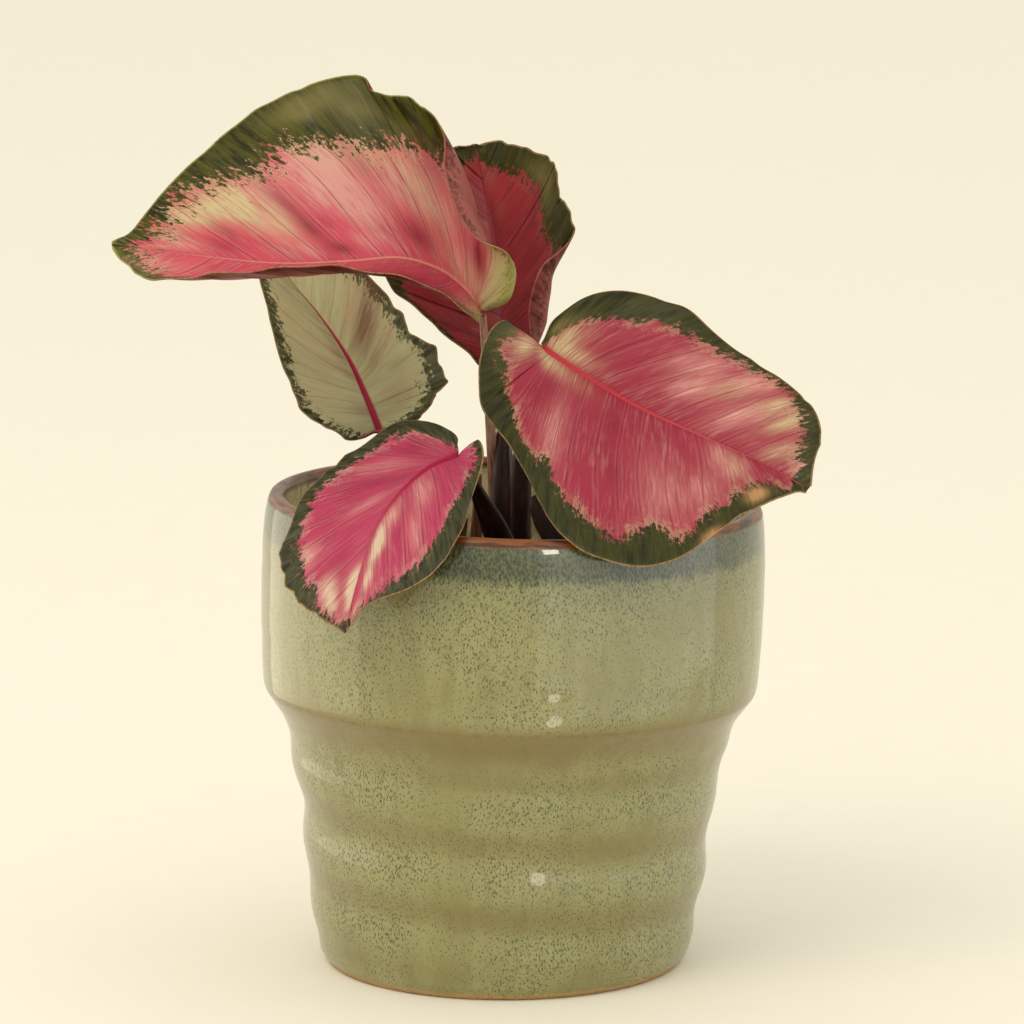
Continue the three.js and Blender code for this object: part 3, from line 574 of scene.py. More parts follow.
# Pleats: half, place round the edge, where the pleat starts and is full between midrib and edge, and
# its height and width in millimetres.
PLEATS = {
    "leaf_1": [("right", 0.727, 0.66, 1.0, 1.3, 2.6), ("right", 0.748, 0.8, 1.05, -0.6, 4)],
    "leaf_5": [
        ("right", 0.47, 0.5, 0.75, 0.5, 0.9), ("right", 0.64, 0.62, 0.85, 0.5, 0.8),
        ("right", 0.7, 0.68, 0.9, 0.45, 0.7), ("right", 0.78, 0.7, 0.95, 0.4, 0.8),
    ],
}

# Each blade's main side veins this far apart and its quilting this deep, in millimetres, the rows and
# columns of its mesh, and its material slot.
BUILDS = {
    "leaf_1": {"quilt": 8.5, "relief": 0.42, "rows": 170, "columns": 46, "slot": "rose_leaf"},
    "leaf_2": {"quilt": 7.0, "relief": 0.3, "rows": 130, "columns": 34, "slot": "burgundy_leaf"},
    "leaf_3": {"quilt": 7.5, "relief": 0.32, "rows": 150, "columns": 42, "slot": "rose_leaf"},
    "leaf_4": {"quilt": 6.5, "relief": 0.3, "rows": 150, "columns": 34, "slot": "silver_leaf"},
    "leaf_5": {"quilt": 6.5, "relief": 0.3, "rows": 150, "columns": 36, "slot": "rose_leaf"},
}

# Which of the blade settings' colours every upper face shows, which ones each blade's own has instead,
# and its own measures.
SHARED = {
    "Pale": "pale_rose", "Cream": "cream", "Margin": "margin", "Margin Shade": "margin_shade",
    "Fleck": "fleck", "Olive": "olive", "Edge": "edge",
}
LOOKS = {
    "leaf_1": {
        "colours": {
            "Face": "rose", "Shadow": "deep_rose", "Midrib": "midrib", "Margin": "fresh_margin",
            "Edge": "lime",
        },
        "numbers": {
            "Raggedness": 2.3, "Vein Strength": 0.5, "Streaks": 1.0, "Mottle": 0.5, "Midrib Width": 0.9,
        },
    },
    "leaf_2": {
        # Painted shade: this blade's face, dark strokes and pale strokes are darker copies of the rose
        # colours.
        "colours": {
            "Face": "shaded_burgundy", "Shadow": "shaded_dark_burgundy", "Pale": "shaded_mauve", "Cream": "shaded_mauve",
            "Midrib": "shaded_burgundy",
        },
        "numbers": {
            "Raggedness": 0.9, "Vein Strength": 0.35, "Streaks": 0.5, "Mottle": 0.6, "Midrib Width": 1.0,
        },
    },
    "leaf_3": {
        "colours": {"Face": "front_rose", "Shadow": "deep_rose", "Midrib": "coral"},
        "numbers": {
            "Raggedness": 1.1, "Vein Strength": 0.4, "Streaks": 0.45, "Mottle": 0.4, "Midrib Width": 1.2,
        },
    },
    "leaf_4": {
        "colours": {
            "Face": "silver", "Shadow": "silver_shade", "Pale": "silver_pink", "Margin": "soft_margin",
            "Midrib": "crimson",
        },
        "numbers": {
            "Raggedness": 1.3, "Vein Strength": 0.25, "Streaks": 0.4, "Mottle": 0.3, "Midrib Width": 1.3,
        },
    },
    "leaf_5": {
        "colours": {
            "Face": "magenta", "Shadow": "deep_rose", "Cream": "milk", "Margin": "cool_margin",
            "Midrib": "crimson",
        },
        "numbers": {
            "Raggedness": 0.9, "Vein Strength": 0.45, "Streaks": 0.5, "Mottle": 0.4, "Midrib Width": 1.5,
        },
    },
}
# The same for the lower faces, where all the rest is pale.
UNDERSIDE = {
    "Face": "underside", "Shadow": "underside_strokes_and_shade", "Margin": "underside_border",
    "Margin Shade": "underside_strokes_and_shade",
}
UNDER_NUMBERS = {"Streaks": 0.5, "Mottle": 0.5, "Vein Strength": 0.4}

# Stalks and sheaths: the piece that each makes, its finish and material slot, the depth of its groove as
# a share, and in millimetres its route and its half width and half depth along it.
STALKS = {
    "petiole_1": {
        "piece": "stalk_1", "finish": "pink_stalk", "groove": 0.25,
        "route": [
            (-1, 7, 93), (-1.5, 5.5, 110), (-2.6, 3, 128), (-3.6, 0.5, 148), (-4.8, -1, 168),
            (-6.1, -1.6, 186.3),
        ],
        "girth": [(0, 1.9, 1.9), (0.6, 1.5, 1.5), (1, 1.1, 1.1)],
    },
    "petiole_2": {
        "piece": "stalk_2", "finish": "dark_stalk", "groove": 0.3,
        "route": [(-1, -3, 93), (-0.6, -3.5, 112), (-0.4, -2.5, 136), (0, 3, 155), (0.5, 11.4, 169.1)],
        "girth": [(0, 3.4, 2.8), (0.5, 3.2, 2.3), (0.72, 2.4, 1.9), (1, 1.1, 1.1)],
    },
    "petiole_3": {
        "piece": "stalk_3", "finish": "dark_stalk", "groove": 0.3,
        "route": [(5, -4, 93), (4.8, -5, 112), (4.6, -7, 136), (6.4, -8.4, 158), (10.7, -13.2, 177.7)],
        "girth": [(0, 3.3, 3), (0.5, 3, 2.6), (0.8, 2.6, 2.2), (1, 1.1, 1.1)],
    },
    "petiole_4": {
        "piece": "stalk_4", "finish": "pink_stalk", "groove": 0.2,
        "route": [(-12, 9, 93), (-15, 7.5, 112), (-20, 6, 130), (-27, 5, 143), (-34.6, 4.3, 151.6)],
        "girth": [(0, 2.5, 2.2), (0.6, 1.8, 1.6), (1, 1, 1)],
    },
    "petiole_5": {
        "piece": "stalk_5", "finish": "dark_stalk", "groove": 0.45,
        "route": [
            (5, -13.5, 93), (3.4, -14.5, 107), (-1.4, -20, 125), (-7, -28, 139), (-12, -37.1, 151.1),
        ],
        "girth": [(0, 4.6, 2), (0.35, 4.8, 1.7), (0.6, 3.6, 1.5), (0.8, 2, 1.3), (1, 1, 1)],
    },
    "side_shoot": {
        "piece": "rolled_shoot", "finish": "dark_stalk", "groove": 0.35,
        "route": [
            (27, -18, 93), (23.6, -18, 106), (16.9, -16.5, 121), (11.4, -14.5, 131), (8.6, -13, 136.6),
        ],
        "girth": [(0, 4, 2.6), (0.5, 4.3, 2.3), (0.85, 3.9, 2), (0.95, 3, 1.6), (1, 1.6, 1.2)],
    },
    "dry_sheath_1": {
        "piece": "dry_bract_1", "finish": "dry_sheath", "groove": 0.4,
        "route": [(-7.5, -4, 94), (-8, -4, 108), (-8, -3.6, 124), (-7.2, -3.2, 141)],
        "girth": [(0, 2.2, 0.7), (0.6, 1.8, 0.5), (1, 0.8, 0.4)],
    },
    "dry_sheath_2": {
        "piece": "dry_bract_2", "finish": "dry_sheath", "groove": 0.4,
        "route": [(-15, -12, 94), (-15, -12, 106), (-14, -13, 119), (-11.6, -15, 130.6)],
        "girth": [(0, 3, 0.7), (0.6, 3.2, 0.5), (1, 1.4, 0.4)],
    },
}
# The finishes: first of their three colours in the stalk settings, fineness of the fibres, and marks.
FINISHES = {
    "pink_stalk": ("pink", 2.2, 0.3),
    "dark_stalk": ("dark", 2.6, 0.5),
    "dry_sheath": ("dry", 4.0, 0.4),
}


class Wiring:
    """Adds nodes to one tree and joins their sockets."""

    def __init__(self, tree):
        self.tree = tree
        self.count = 0

    def feed(self, socket, value):
        """Joins a socket to another, or gives it a plain value."""
        if isinstance(value, bpy.types.NodeSocket):
            self.tree.links.new(value, socket)
        else:
            socket.default_value = value

    def add(self, kind, settings=None, inputs=None):
        """A new node, set in rows of fourteen."""
        node = self.tree.nodes.new(kind)
        node.location = (200 * (self.count % 14), -280 * (self.count // 14))
        self.count += 1
        for name, value in (settings or {}).items():
            setattr(node, name, value)
        for place, value in (inputs or {}).items():
            self.feed(node.inputs[place], value)
        return node

    def made(self, kind, inputs=None, **settings):
        """The first output of a new node."""
        return self.add(kind, settings, inputs).outputs[0]

    def math(self, work, *values, clamp=False):
        """The result of one sum or function of plain numbers."""
        return self.made("ShaderNodeMath", dict(enumerate(values)), operation=work, use_clamp=clamp)

    def sum(self, *values):
        """All the values added up."""
        total = values[0]
        for value in values[1:]:
            total = self.math("ADD", total, value)
        return total

    def product(self, *values):
        """All the values multiplied."""
        total = values[0]
        for value in values[1:]:
            total = self.math("MULTIPLY", total, value)
        return total

    def weighted(self, *pairs):
        """The sum of the values, each times its weight."""
        return self.sum(*(self.product(value, weight) for value, weight in pairs))

    def swung(self, value, noise, reach):
        """The value moved up and down by a noise whose middle is one half."""
        return self.sum(value, self.product(self.math("SUBTRACT", noise, 0.5), reach))

    def step(self, value, start, end, low=0.0, high=1.0):
        """Goes smoothly from low to high as the value goes from start to end."""
        inputs = {0: value, 1: start, 2: end, 3: low, 4: high}
        return self.made("ShaderNodeMapRange", inputs, interpolation_type="SMOOTHSTEP")

    def hump(self, value, middle, reach):
        """One at the middle, falling smoothly to nothing a reach away on both sides."""
        away = self.math("ABSOLUTE", self.math("SUBTRACT", value, middle))
        return self.step(away, 0.0, reach, 1.0, 0.0)

    def paint(self, colour, other, *shares):
        """One colour laid over another, as thickly as the product of the shares says."""
        settings = {"data_type": "RGBA", "blend_type": "MIX", "clamp_factor": True}
        inputs = {0: self.product(*shares), 6: colour, 7: other}
        return self.add("ShaderNodeMix", settings, inputs).outputs[2]

    def vector(self, x, y, z):
        """A vector of three values."""
        return self.made("ShaderNodeCombineXYZ", {0: x, 1: y, 2: z})

    def split(self, vector):
        """The three values of a vector."""
        return self.add("ShaderNodeSeparateXYZ", None, {0: vector}).outputs

    def vector_math(self, work, inputs):
        """The result of one sum or function of vectors."""
        return self.made("ShaderNodeVectorMath", inputs, operation=work)

    def stretched(self, point, across, up):
        """The point with its distances across and up multiplied."""
        return self.vector_math("MULTIPLY", {0: point, 1: (across, across, up)})

    def place(self, scale):
        """The point on the object, with its distances multiplied by the scale."""
        point = self.add("ShaderNodeTexCoord").outputs["Object"]
        return self.stretched(point, scale, scale)

    def noise(self, vector, scale=1.0, detail=2.0, roughness=0.5):
        """A noise about one half, with its lumps one over the scale apart."""
        inputs = {"Vector": vector, "Scale": scale, "Detail": detail, "Roughness": roughness}
        return self.made("ShaderNodeTexNoise", inputs)

    def cells(self, vector, scale):
        """How far the nearest cell's middle is, in cells."""
        inputs = {"Vector": vector, "Scale": scale}
        return self.add("ShaderNodeTexVoronoi", {"feature": "F1"}, inputs).outputs["Distance"]

    def attribute(self, name, output="Vector"):
        """What the mesh keeps at its points under this name."""
        return self.add("ShaderNodeAttribute", {"attribute_name": name}).outputs[output]


def node_group(name, kind, inputs, outputs):
    """An empty node group with named sockets: its tree, wiring, input node's sockets and output node."""
    tree = bpy.data.node_groups.new(name, kind)
    for label, socket_type, value in inputs:
        socket = tree.interface.new_socket(label, in_out="INPUT", socket_type=socket_type)
        if value is not None:
            socket.default_value = value
    for label, socket_type in outputs:
        tree.interface.new_socket(label, in_out="OUTPUT", socket_type=socket_type)
    wiring = Wiring(tree)
    start = wiring.add("NodeGroupInput")
    end = wiring.add("NodeGroupOutput")
    return tree, wiring, start.outputs, end.inputs


def skin_group(name, places, colours, numbers):
    """An empty shader node group that gives a skin's colour, roughness and height."""
    inputs = [(label, "NodeSocketVector", None) for label in places]
    inputs += [(label, "NodeSocketColor", None) for label in colours]
    inputs += [(label, "NodeSocketFloat", value) for label, value in numbers.items()]
    outputs = [("Color", "NodeSocketColor"), ("Roughness", "NodeSocketFloat"), ("Height", "NodeSocketFloat")]
    return node_group(name, "ShaderNodeTree", inputs, outputs)


def new_material(name, settings):
    """A material with one Principled shader; returns it, its wiring and the shader."""
    material = bpy.data.materials.new(name)
    material.use_nodes = True
    material.node_tree.nodes.clear()
    wiring = Wiring(material.node_tree)
    shader = wiring.add("ShaderNodeBsdfPrincipled", None, settings)
    output = wiring.add("ShaderNodeOutputMaterial")
    material.node_tree.links.new(shader.outputs[0], output.inputs["Surface"])
    return material, wiring, shader


def dress(w, shader, colour, roughness, height, relief, strength):
    """Feeds a shader its colour, its roughness and its bumps, whose relief is in metres."""
    w.feed(shader.inputs["Base Color"], colour)
    w.feed(shader.inputs["Roughness"], roughness)
    bumps = {"Height": height, "Distance": relief, "Strength": strength}
    w.feed(shader.inputs["Normal"], w.made("ShaderNodeBump", bumps))


def skin_material(name, tree, places, values, settings, relief):
    """A material that a skin's node group colours from what the mesh keeps at its points."""
    material, w, shader = new_material(name, settings)
    group = w.add("ShaderNodeGroup")
    group.node_tree = tree
    for label, place in places.items():
        w.feed(group.inputs[label], w.attribute(place))
    for label, value in values.items():
        w.feed(group.inputs[label], value)
    found = group.outputs
    dress(w, shader, found["Color"], found["Roughness"], found["Height"], relief, 0.8)
    return material


def piece_from(name, mesh, node):
    """Puts a finished mesh in the scene as a piece that stands for one node of the model."""
    piece = bpy.data.objects.new(name, mesh)
    bpy.context.scene.collection.objects.link(piece)
    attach(piece, BODY)
    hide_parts(node)
    return piece


def mesh_from(name, points, faces, materials, face_materials=None, values=None):
    """A smooth mesh from points in millimetres, with tables of up to three columns kept at its points."""
    mesh = bpy.data.meshes.new(name)
    mesh.from_pydata((np.asarray(points) * MM).tolist(), [], [list(map(int, face)) for face in faces])
    for material in materials:
        mesh.materials.append(material)
    mesh.polygons.foreach_set("use_smooth", [True] * len(mesh.polygons))
    if face_materials is not None:
        mesh.polygons.foreach_set("material_index", np.asarray(face_materials, dtype=np.int32))
    for label, rows in (values or {}).items():
        vectors = np.zeros((len(rows), 3), dtype=np.float32)
        vectors[:, : rows.shape[1]] = rows
        layer = mesh.attributes.new(label, "FLOAT_VECTOR", "POINT")
        layer.data.foreach_set("vector", vectors.ravel())
    mesh.update()
    return mesh


def through_tree(name, mesh, tree, values):
    """The plain mesh that a Geometry Nodes tree makes of another mesh."""
    holder = bpy.data.objects.new(name, mesh)
    bpy.context.scene.collection.objects.link(holder)
    modifier = holder.modifiers.new(tree.name, "NODES")
    modifier.node_group = tree
    for item in tree.interface.items_tree:
        if item.item_type == "SOCKET" and item.in_out == "INPUT" and item.name in values:
            modifier[item.identifier] = values[item.name]
    graph = bpy.context.evaluated_depsgraph_get()
    graph.update()
    made = bpy.data.meshes.new_from_object(holder.evaluated_get(graph), depsgraph=graph)
    made.name = name
    holder.modifiers.clear()
    bpy.data.objects.remove(holder)
    if not made.polygons:
        raise RuntimeError(f"the tree for {name} made nothing")
    return made


def through(points, places):
    """The uniform Catmull-Rom curve through the points, at places counted in points."""
    points = np.asarray(points, dtype=float)
    places = np.asarray(places, dtype=float)
    ends = np.vstack([2 * points[0] - points[1], points, 2 * points[-1] - points[-2]])
    first = np.clip(np.floor(places).astype(int), 0, len(points) - 2)
    t = (places - first)[:, None]
    a, b, c, d = ends[first], ends[first + 1], ends[first + 2], ends[first + 3]
    return 0.5 * (2 * b + (c - a) * t + (2 * a - 5 * b + 4 * c - d) * t**2 + (3 * b - a - 3 * c + d) * t**3)


def run_along(points):
    """The length from the first point to each of them."""
    return np.concatenate([[0], np.cumsum(np.linalg.norm(np.diff(points, axis=0), axis=1))])


def read_off(places, known, rows):
    """Rows at places between those that are known."""
    return np.stack([np.interp(places, known, column) for column in rows.T], axis=1)


def even_curve(points, count):
    """Points evenly spaced along the curve, their tangents and the curve's length."""
    fine = through(points, np.linspace(0, len(points) - 1, CURVE_FINENESS * len(points)))
    run = run_along(fine)
    curve = read_off(np.linspace(0, run[-1], count), run, fine)
    return curve, unit(np.gradient(curve, axis=0)), run[-1]


def unit(vectors):
    """The vectors at length one."""
    sizes = np.linalg.norm(vectors, axis=-1, keepdims=True)
    return vectors / np.maximum(sizes, 1e-9)


def smooth(value, start, end):
    """Goes smoothly from nothing to one as the value goes from start to end."""
    share = np.clip((np.asarray(value, dtype=float) - start) / (end - start), 0, 1)
    return share * share * (3 - 2 * share)


def fine_profile(profile, step, rounded):
    """A profile of radius and height with points a step apart at most, on curves or straight lines."""
    corners = np.asarray(profile, dtype=float)
    made = [corners[0]]
    for index, (start, end) in enumerate(zip(corners[:-1], corners[1:])):
        count = max(1, int(np.ceil(np.linalg.norm(end - start) / step)))
        steps = np.arange(1, count + 1)
        if rounded:
            made.extend(through(corners, index + steps / count))
        else:
            made.extend(start + (end - start) * steps[:, None] / count)
    return np.maximum(np.array(made), 0)


def lathe(profile, sides):
    """Points and faces of a profile turned round the vertical, with its two ends on the axis."""
    angles = np.arange(sides) * 2 * np.pi / sides
    radii = profile[1:-1, :1]
    heights = np.repeat(profile[1:-1, 1:], sides, 1)
    turned = np.stack([radii * np.cos(angles), radii * np.sin(angles), heights], axis=2)
    points = np.vstack([turned.reshape(-1, 3), [0, 0, profile[0, 1]], [0, 0, profile[-1, 1]]])
    rings = len(radii)
    first, last = rings * sides, rings * sides + 1
    faces = []
    for side in range(sides):
        after = (side + 1) % sides
        faces.append((first, after, side))
        faces.append((last, (rings - 1) * sides + side, (rings - 1) * sides + after))
        for ring in range(rings - 1):
            low, high = ring * sides, (ring + 1) * sides
            faces.append((low + side, low + after, high + after, high + side))
    return points, faces


class Blade:
    """The surface of one blade: two halves that meet along the midrib and fan out to the edge."""

    def __init__(self, name):
        self.name = name
        self.shape = BLADES[name]
        self.build = BUILDS[name]
        self.curve, self.tangents = even_curve(self.shape["midrib"], MIDRIB_POINTS)[:2]

    def along(self, side, places):
        """Where the side veins that reach the edge at these places leave the midrib."""
        rows = np.asarray(self.shape[side], dtype=float)
        roots = through(rows[:, :1], places * (len(rows) - 1))[:, 0]
        return np.clip((1 - VEIN_SPREAD) * roots + VEIN_SPREAD * places, 0, 1)

    def common_rows(self):
        """Where the rows of the mesh leave the midrib, and their place round the edge on each half."""
        even = np.linspace(0, 1, self.build["rows"])
        dense = np.linspace(0, 1, EDGE_FINENESS)
        feet = np.unique(np.round(np.concatenate([self.along(side, even) for side in SIDES]), 5))
        feet[0], feet[-1] = 0, 1
        places = {}
        for side in SIDES:
            rising = np.maximum.accumulate(self.along(side, dense)) + dense * 1e-7
            places[side] = np.interp(feet, rising, dense)
            places[side][0], places[side][-1] = 0, 1
        return feet, places

    def half(self, side, feet, places, shares):
        """Points of one half: a row for each foot, a column for each share from midrib to edge."""
        rows = through(self.shape[side], places * (len(self.shape[side]) - 1))
        edge, belly = rows[:, 1:4], rows[:, 4:7]
        spots = feet * (len(self.curve) - 1)
        whole = np.arange(len(self.curve))
        foot = read_off(spots, whole, self.curve)
        tangent = read_off(spots, whole, self.tangents)
        face = np.asarray(self.shape["face"], dtype=float)
        normal = unit(face - tangent * (tangent @ face)[:, None])
        middle = (foot + edge) / 2 + belly
        t = shares[None, :, None]
        points = (1 - t) ** 2 * foot[:, None] + 2 * t * (1 - t) * middle[:, None] + t**2 * edge[:, None]
        height, waves, phase = self.shape["ripple"][side]
        fade = np.clip(np.minimum(places, 1 - places) / WAVE_FADE, 0, 1)
        wave = height * fade * np.sin(2 * np.pi * (waves * places + phase))
        inset = np.zeros_like(places)
        for place, reach, depth in NOTCHES[self.name][side]:
            inset = inset + depth * np.exp(-(((places - place) / reach) ** 2))
        points = points - (unit(edge - foot) * inset[:, None])[:, None] * t**5
        return points + normal[:, None] * t**3 * wave[:, None, None]

    def surface(self):
        """The grid of the blade's middle, its normals, and the measures that the markings follow."""
        feet, places = self.common_rows()
        shares = np.linspace(0, 1, self.build["columns"] + 1) ** COLUMN_POWER
        halves = {side: self.half(side, feet, places[side], shares) for side in SIDES}
        found = {side: self.measures(side, feet, places[side], shares, halves[side]) for side in SIDES}

        def joined(left, right):
            """One grid from the left edge over the midrib to the right edge."""
            return np.concatenate([left[:, :0:-1], right], axis=1)

        grid = joined(halves["left"], halves["right"])
        normals = unit(np.cross(np.gradient(grid, axis=1), np.gradient(grid, axis=0)))
        middle = len(shares) - 1
        normals[:, middle] = unit(normals[:, middle - 1] + normals[:, middle + 1])
        return grid, normals, {key: joined(found["left"][key], found["right"][key]) for key in found["left"]}

    def measures(self, side, feet, places, shares, points):
        """Distances in millimetres and painted amounts at each point of one half."""
        steps = np.linalg.norm(np.diff(points, axis=1), axis=2)
        out = np.concatenate([np.zeros((len(feet), 1)), np.cumsum(steps, axis=1)], axis=1)
        reach = out[:, -1:]
        run = run_along(points[:, len(shares) * 3 // 5])
        start = HALF_OFFSET if side == "left" else 0.0
        border = np.interp(places, *zip(*MARGINS[self.name][side]))
        wide = np.ones_like(out)
        found = {
            "run": (run[:, None] + start) * wide,
            "out": out,
            "margin": (shares[None, :] - border[:, None]) * reach,
            "edge": reach - out,
            "along": feet[:, None] * wide,
            "quilt": self.quilting(run, shares, SIDES.index(side)),
        }
        for kind in PAINTS:
            found[kind] = np.zeros_like(out)
            for place, share, long, wide_share, strength in PATCHES[self.name][side].get(kind, []):
                middle = np.interp(place, places, run)
                away = ((run[:, None] - middle) / long) ** 2 + ((shares[None, :] - share) / wide_share) ** 2
                found[kind] = found[kind] + strength * np.exp(-away)
        for half, place, low, high, height, width in PLEATS.get(self.name, []):
            if half == side:
                middle = np.interp(place, places, run)
                ridge = np.exp(-(((run - middle) / width) ** 2))[:, None] * smooth(shares, low, high)[None, :]
                found["quilt"] = found["quilt"] + height * ridge
        return found

    def quilting(self, run, shares, turn):
        """How far the blade swells between its main side veins, in millimetres.

        Slow waves of odd lengths bend the veins and change the swells' strength, so that no two are
        alike, finer veins ripple the face a little, and the edge has a frill of its own.
        """
        random = np.random.default_rng(SEED + 10 * int(self.name[-1]) + turn)
        bends = random.uniform(0, 2 * np.pi, 6)
        pitch = self.build["quilt"]
        wander = 0.5 * np.sin(run / (4.3 * pitch) + bends[0]) + 0.3 * np.sin(run / (1.9 * pitch) + bends[1])
        phase = 2 * np.pi * run / pitch + wander * 2
        swell = np.abs(np.cos(phase / 2)) ** 0.8 - 0.6
        strength = 0.75 + 0.35 * np.sin(run / (3.1 * pitch) + bends[2])
        envelope = smooth(shares, 0.02, 0.2) * (1 - 0.75 * smooth(shares, 0.75, 1))
        fine = 0.012 * np.cos(2 * np.pi * run / (pitch / 4.7) + bends[3])[:, None]
        edge = smooth(shares, 0.8, 1)[None, :]
        frill = 0.35 * np.sin(run / 2.6 + bends[4]) + 0.3 * np.sin(run / 4.7 + bends[5])
        relief = self.build["relief"] * (swell * strength)[:, None] * envelope[None, :] + fine * envelope
        return relief + frill[:, None] * edge

    def mesh(self, sizes, materials):
        """The closed mesh of the blade: upper skin, lower skin with its midrib, and a rounded rim."""
        grid, normals, found = self.surface()
        rows, columns = grid.shape[:2]
        taper = 1 - RIB_TAPER * found["along"]
        half = sizes.blade_thickness / MM * (0.5 + THICK_GAIN * np.exp(-found["out"] / THICK_REACH))
        groove = GROOVE_DEPTH * np.exp(-((found["out"] / (GROOVE_WIDTH * taper)) ** 2))
        ridge = np.exp(-((found["out"] / (RIDGE_WIDTH * taper)) ** 2))
        ridge = sizes.midrib_height / MM * taper * ridge
        lift = found["quilt"]
        upper = grid + normals * (lift + half - groove)[..., None]
        lower = grid + normals * (lift - half - ridge)[..., None]
        outward = np.zeros_like(grid)
        outward[:, 0] += unit(grid[:, 0] - grid[:, 1])
        outward[:, -1] += unit(grid[:, -1] - grid[:, -2])
        outward[0] += unit(grid[0] - grid[1])
        outward[-1] += unit(grid[-1] - grid[-2])
        outer = grid + normals * lift[..., None] + unit(outward) * (RIM_SHARE * half)[..., None]
        ring = ring_of(rows, columns)
        points = np.vstack([upper.reshape(-1, 3), lower.reshape(-1, 3), outer.reshape(-1, 3)[ring]])
        skin = rows * columns
        row, column = np.meshgrid(np.arange(rows - 1), np.arange(columns - 1), indexing="ij")
        a = (row * columns + column).ravel()
        top = np.stack([a, a + 1, a + columns + 1, a + columns], axis=1)
        under = top[:, [0, 3, 2, 1]] + skin
        edge = 2 * skin + np.arange(len(ring))
        ring_next, edge_next = np.roll(ring, -1), np.roll(edge, -1)
        top_rim = np.stack([ring, edge, edge_next, ring_next], axis=1)
        low_rim = np.stack([edge, ring + skin, ring_next + skin, edge_next], axis=1)
        parts = [top, under, top_rim, low_rim]
        kinds = np.repeat([0, 1, 0, 1], [len(part) for part in parts])
        values = {}
        for label, keys in BLADE_VALUES.items():
            flat = np.stack([found[key].ravel() for key in keys], axis=1)
            values[label] = np.vstack([flat, flat, flat[ring]])
        return mesh_from(blade_name(self.name), points, np.vstack(parts), materials, kinds, values)


def blade_name(leaf):
    """The piece's name for the leaf's node."""
    return "blade_" + leaf[-1]


def ring_of(rows, columns):
    """The grid's outline as places in the grid, in the order that faces outwards."""
    base = np.arange(columns)
    right = np.arange(1, rows) * columns + columns - 1
    tip = (rows - 1) * columns + np.arange(columns - 2, -1, -1)
    left = np.arange(rows - 2, 0, -1) * columns
    return np.concatenate([base, right, tip, left])


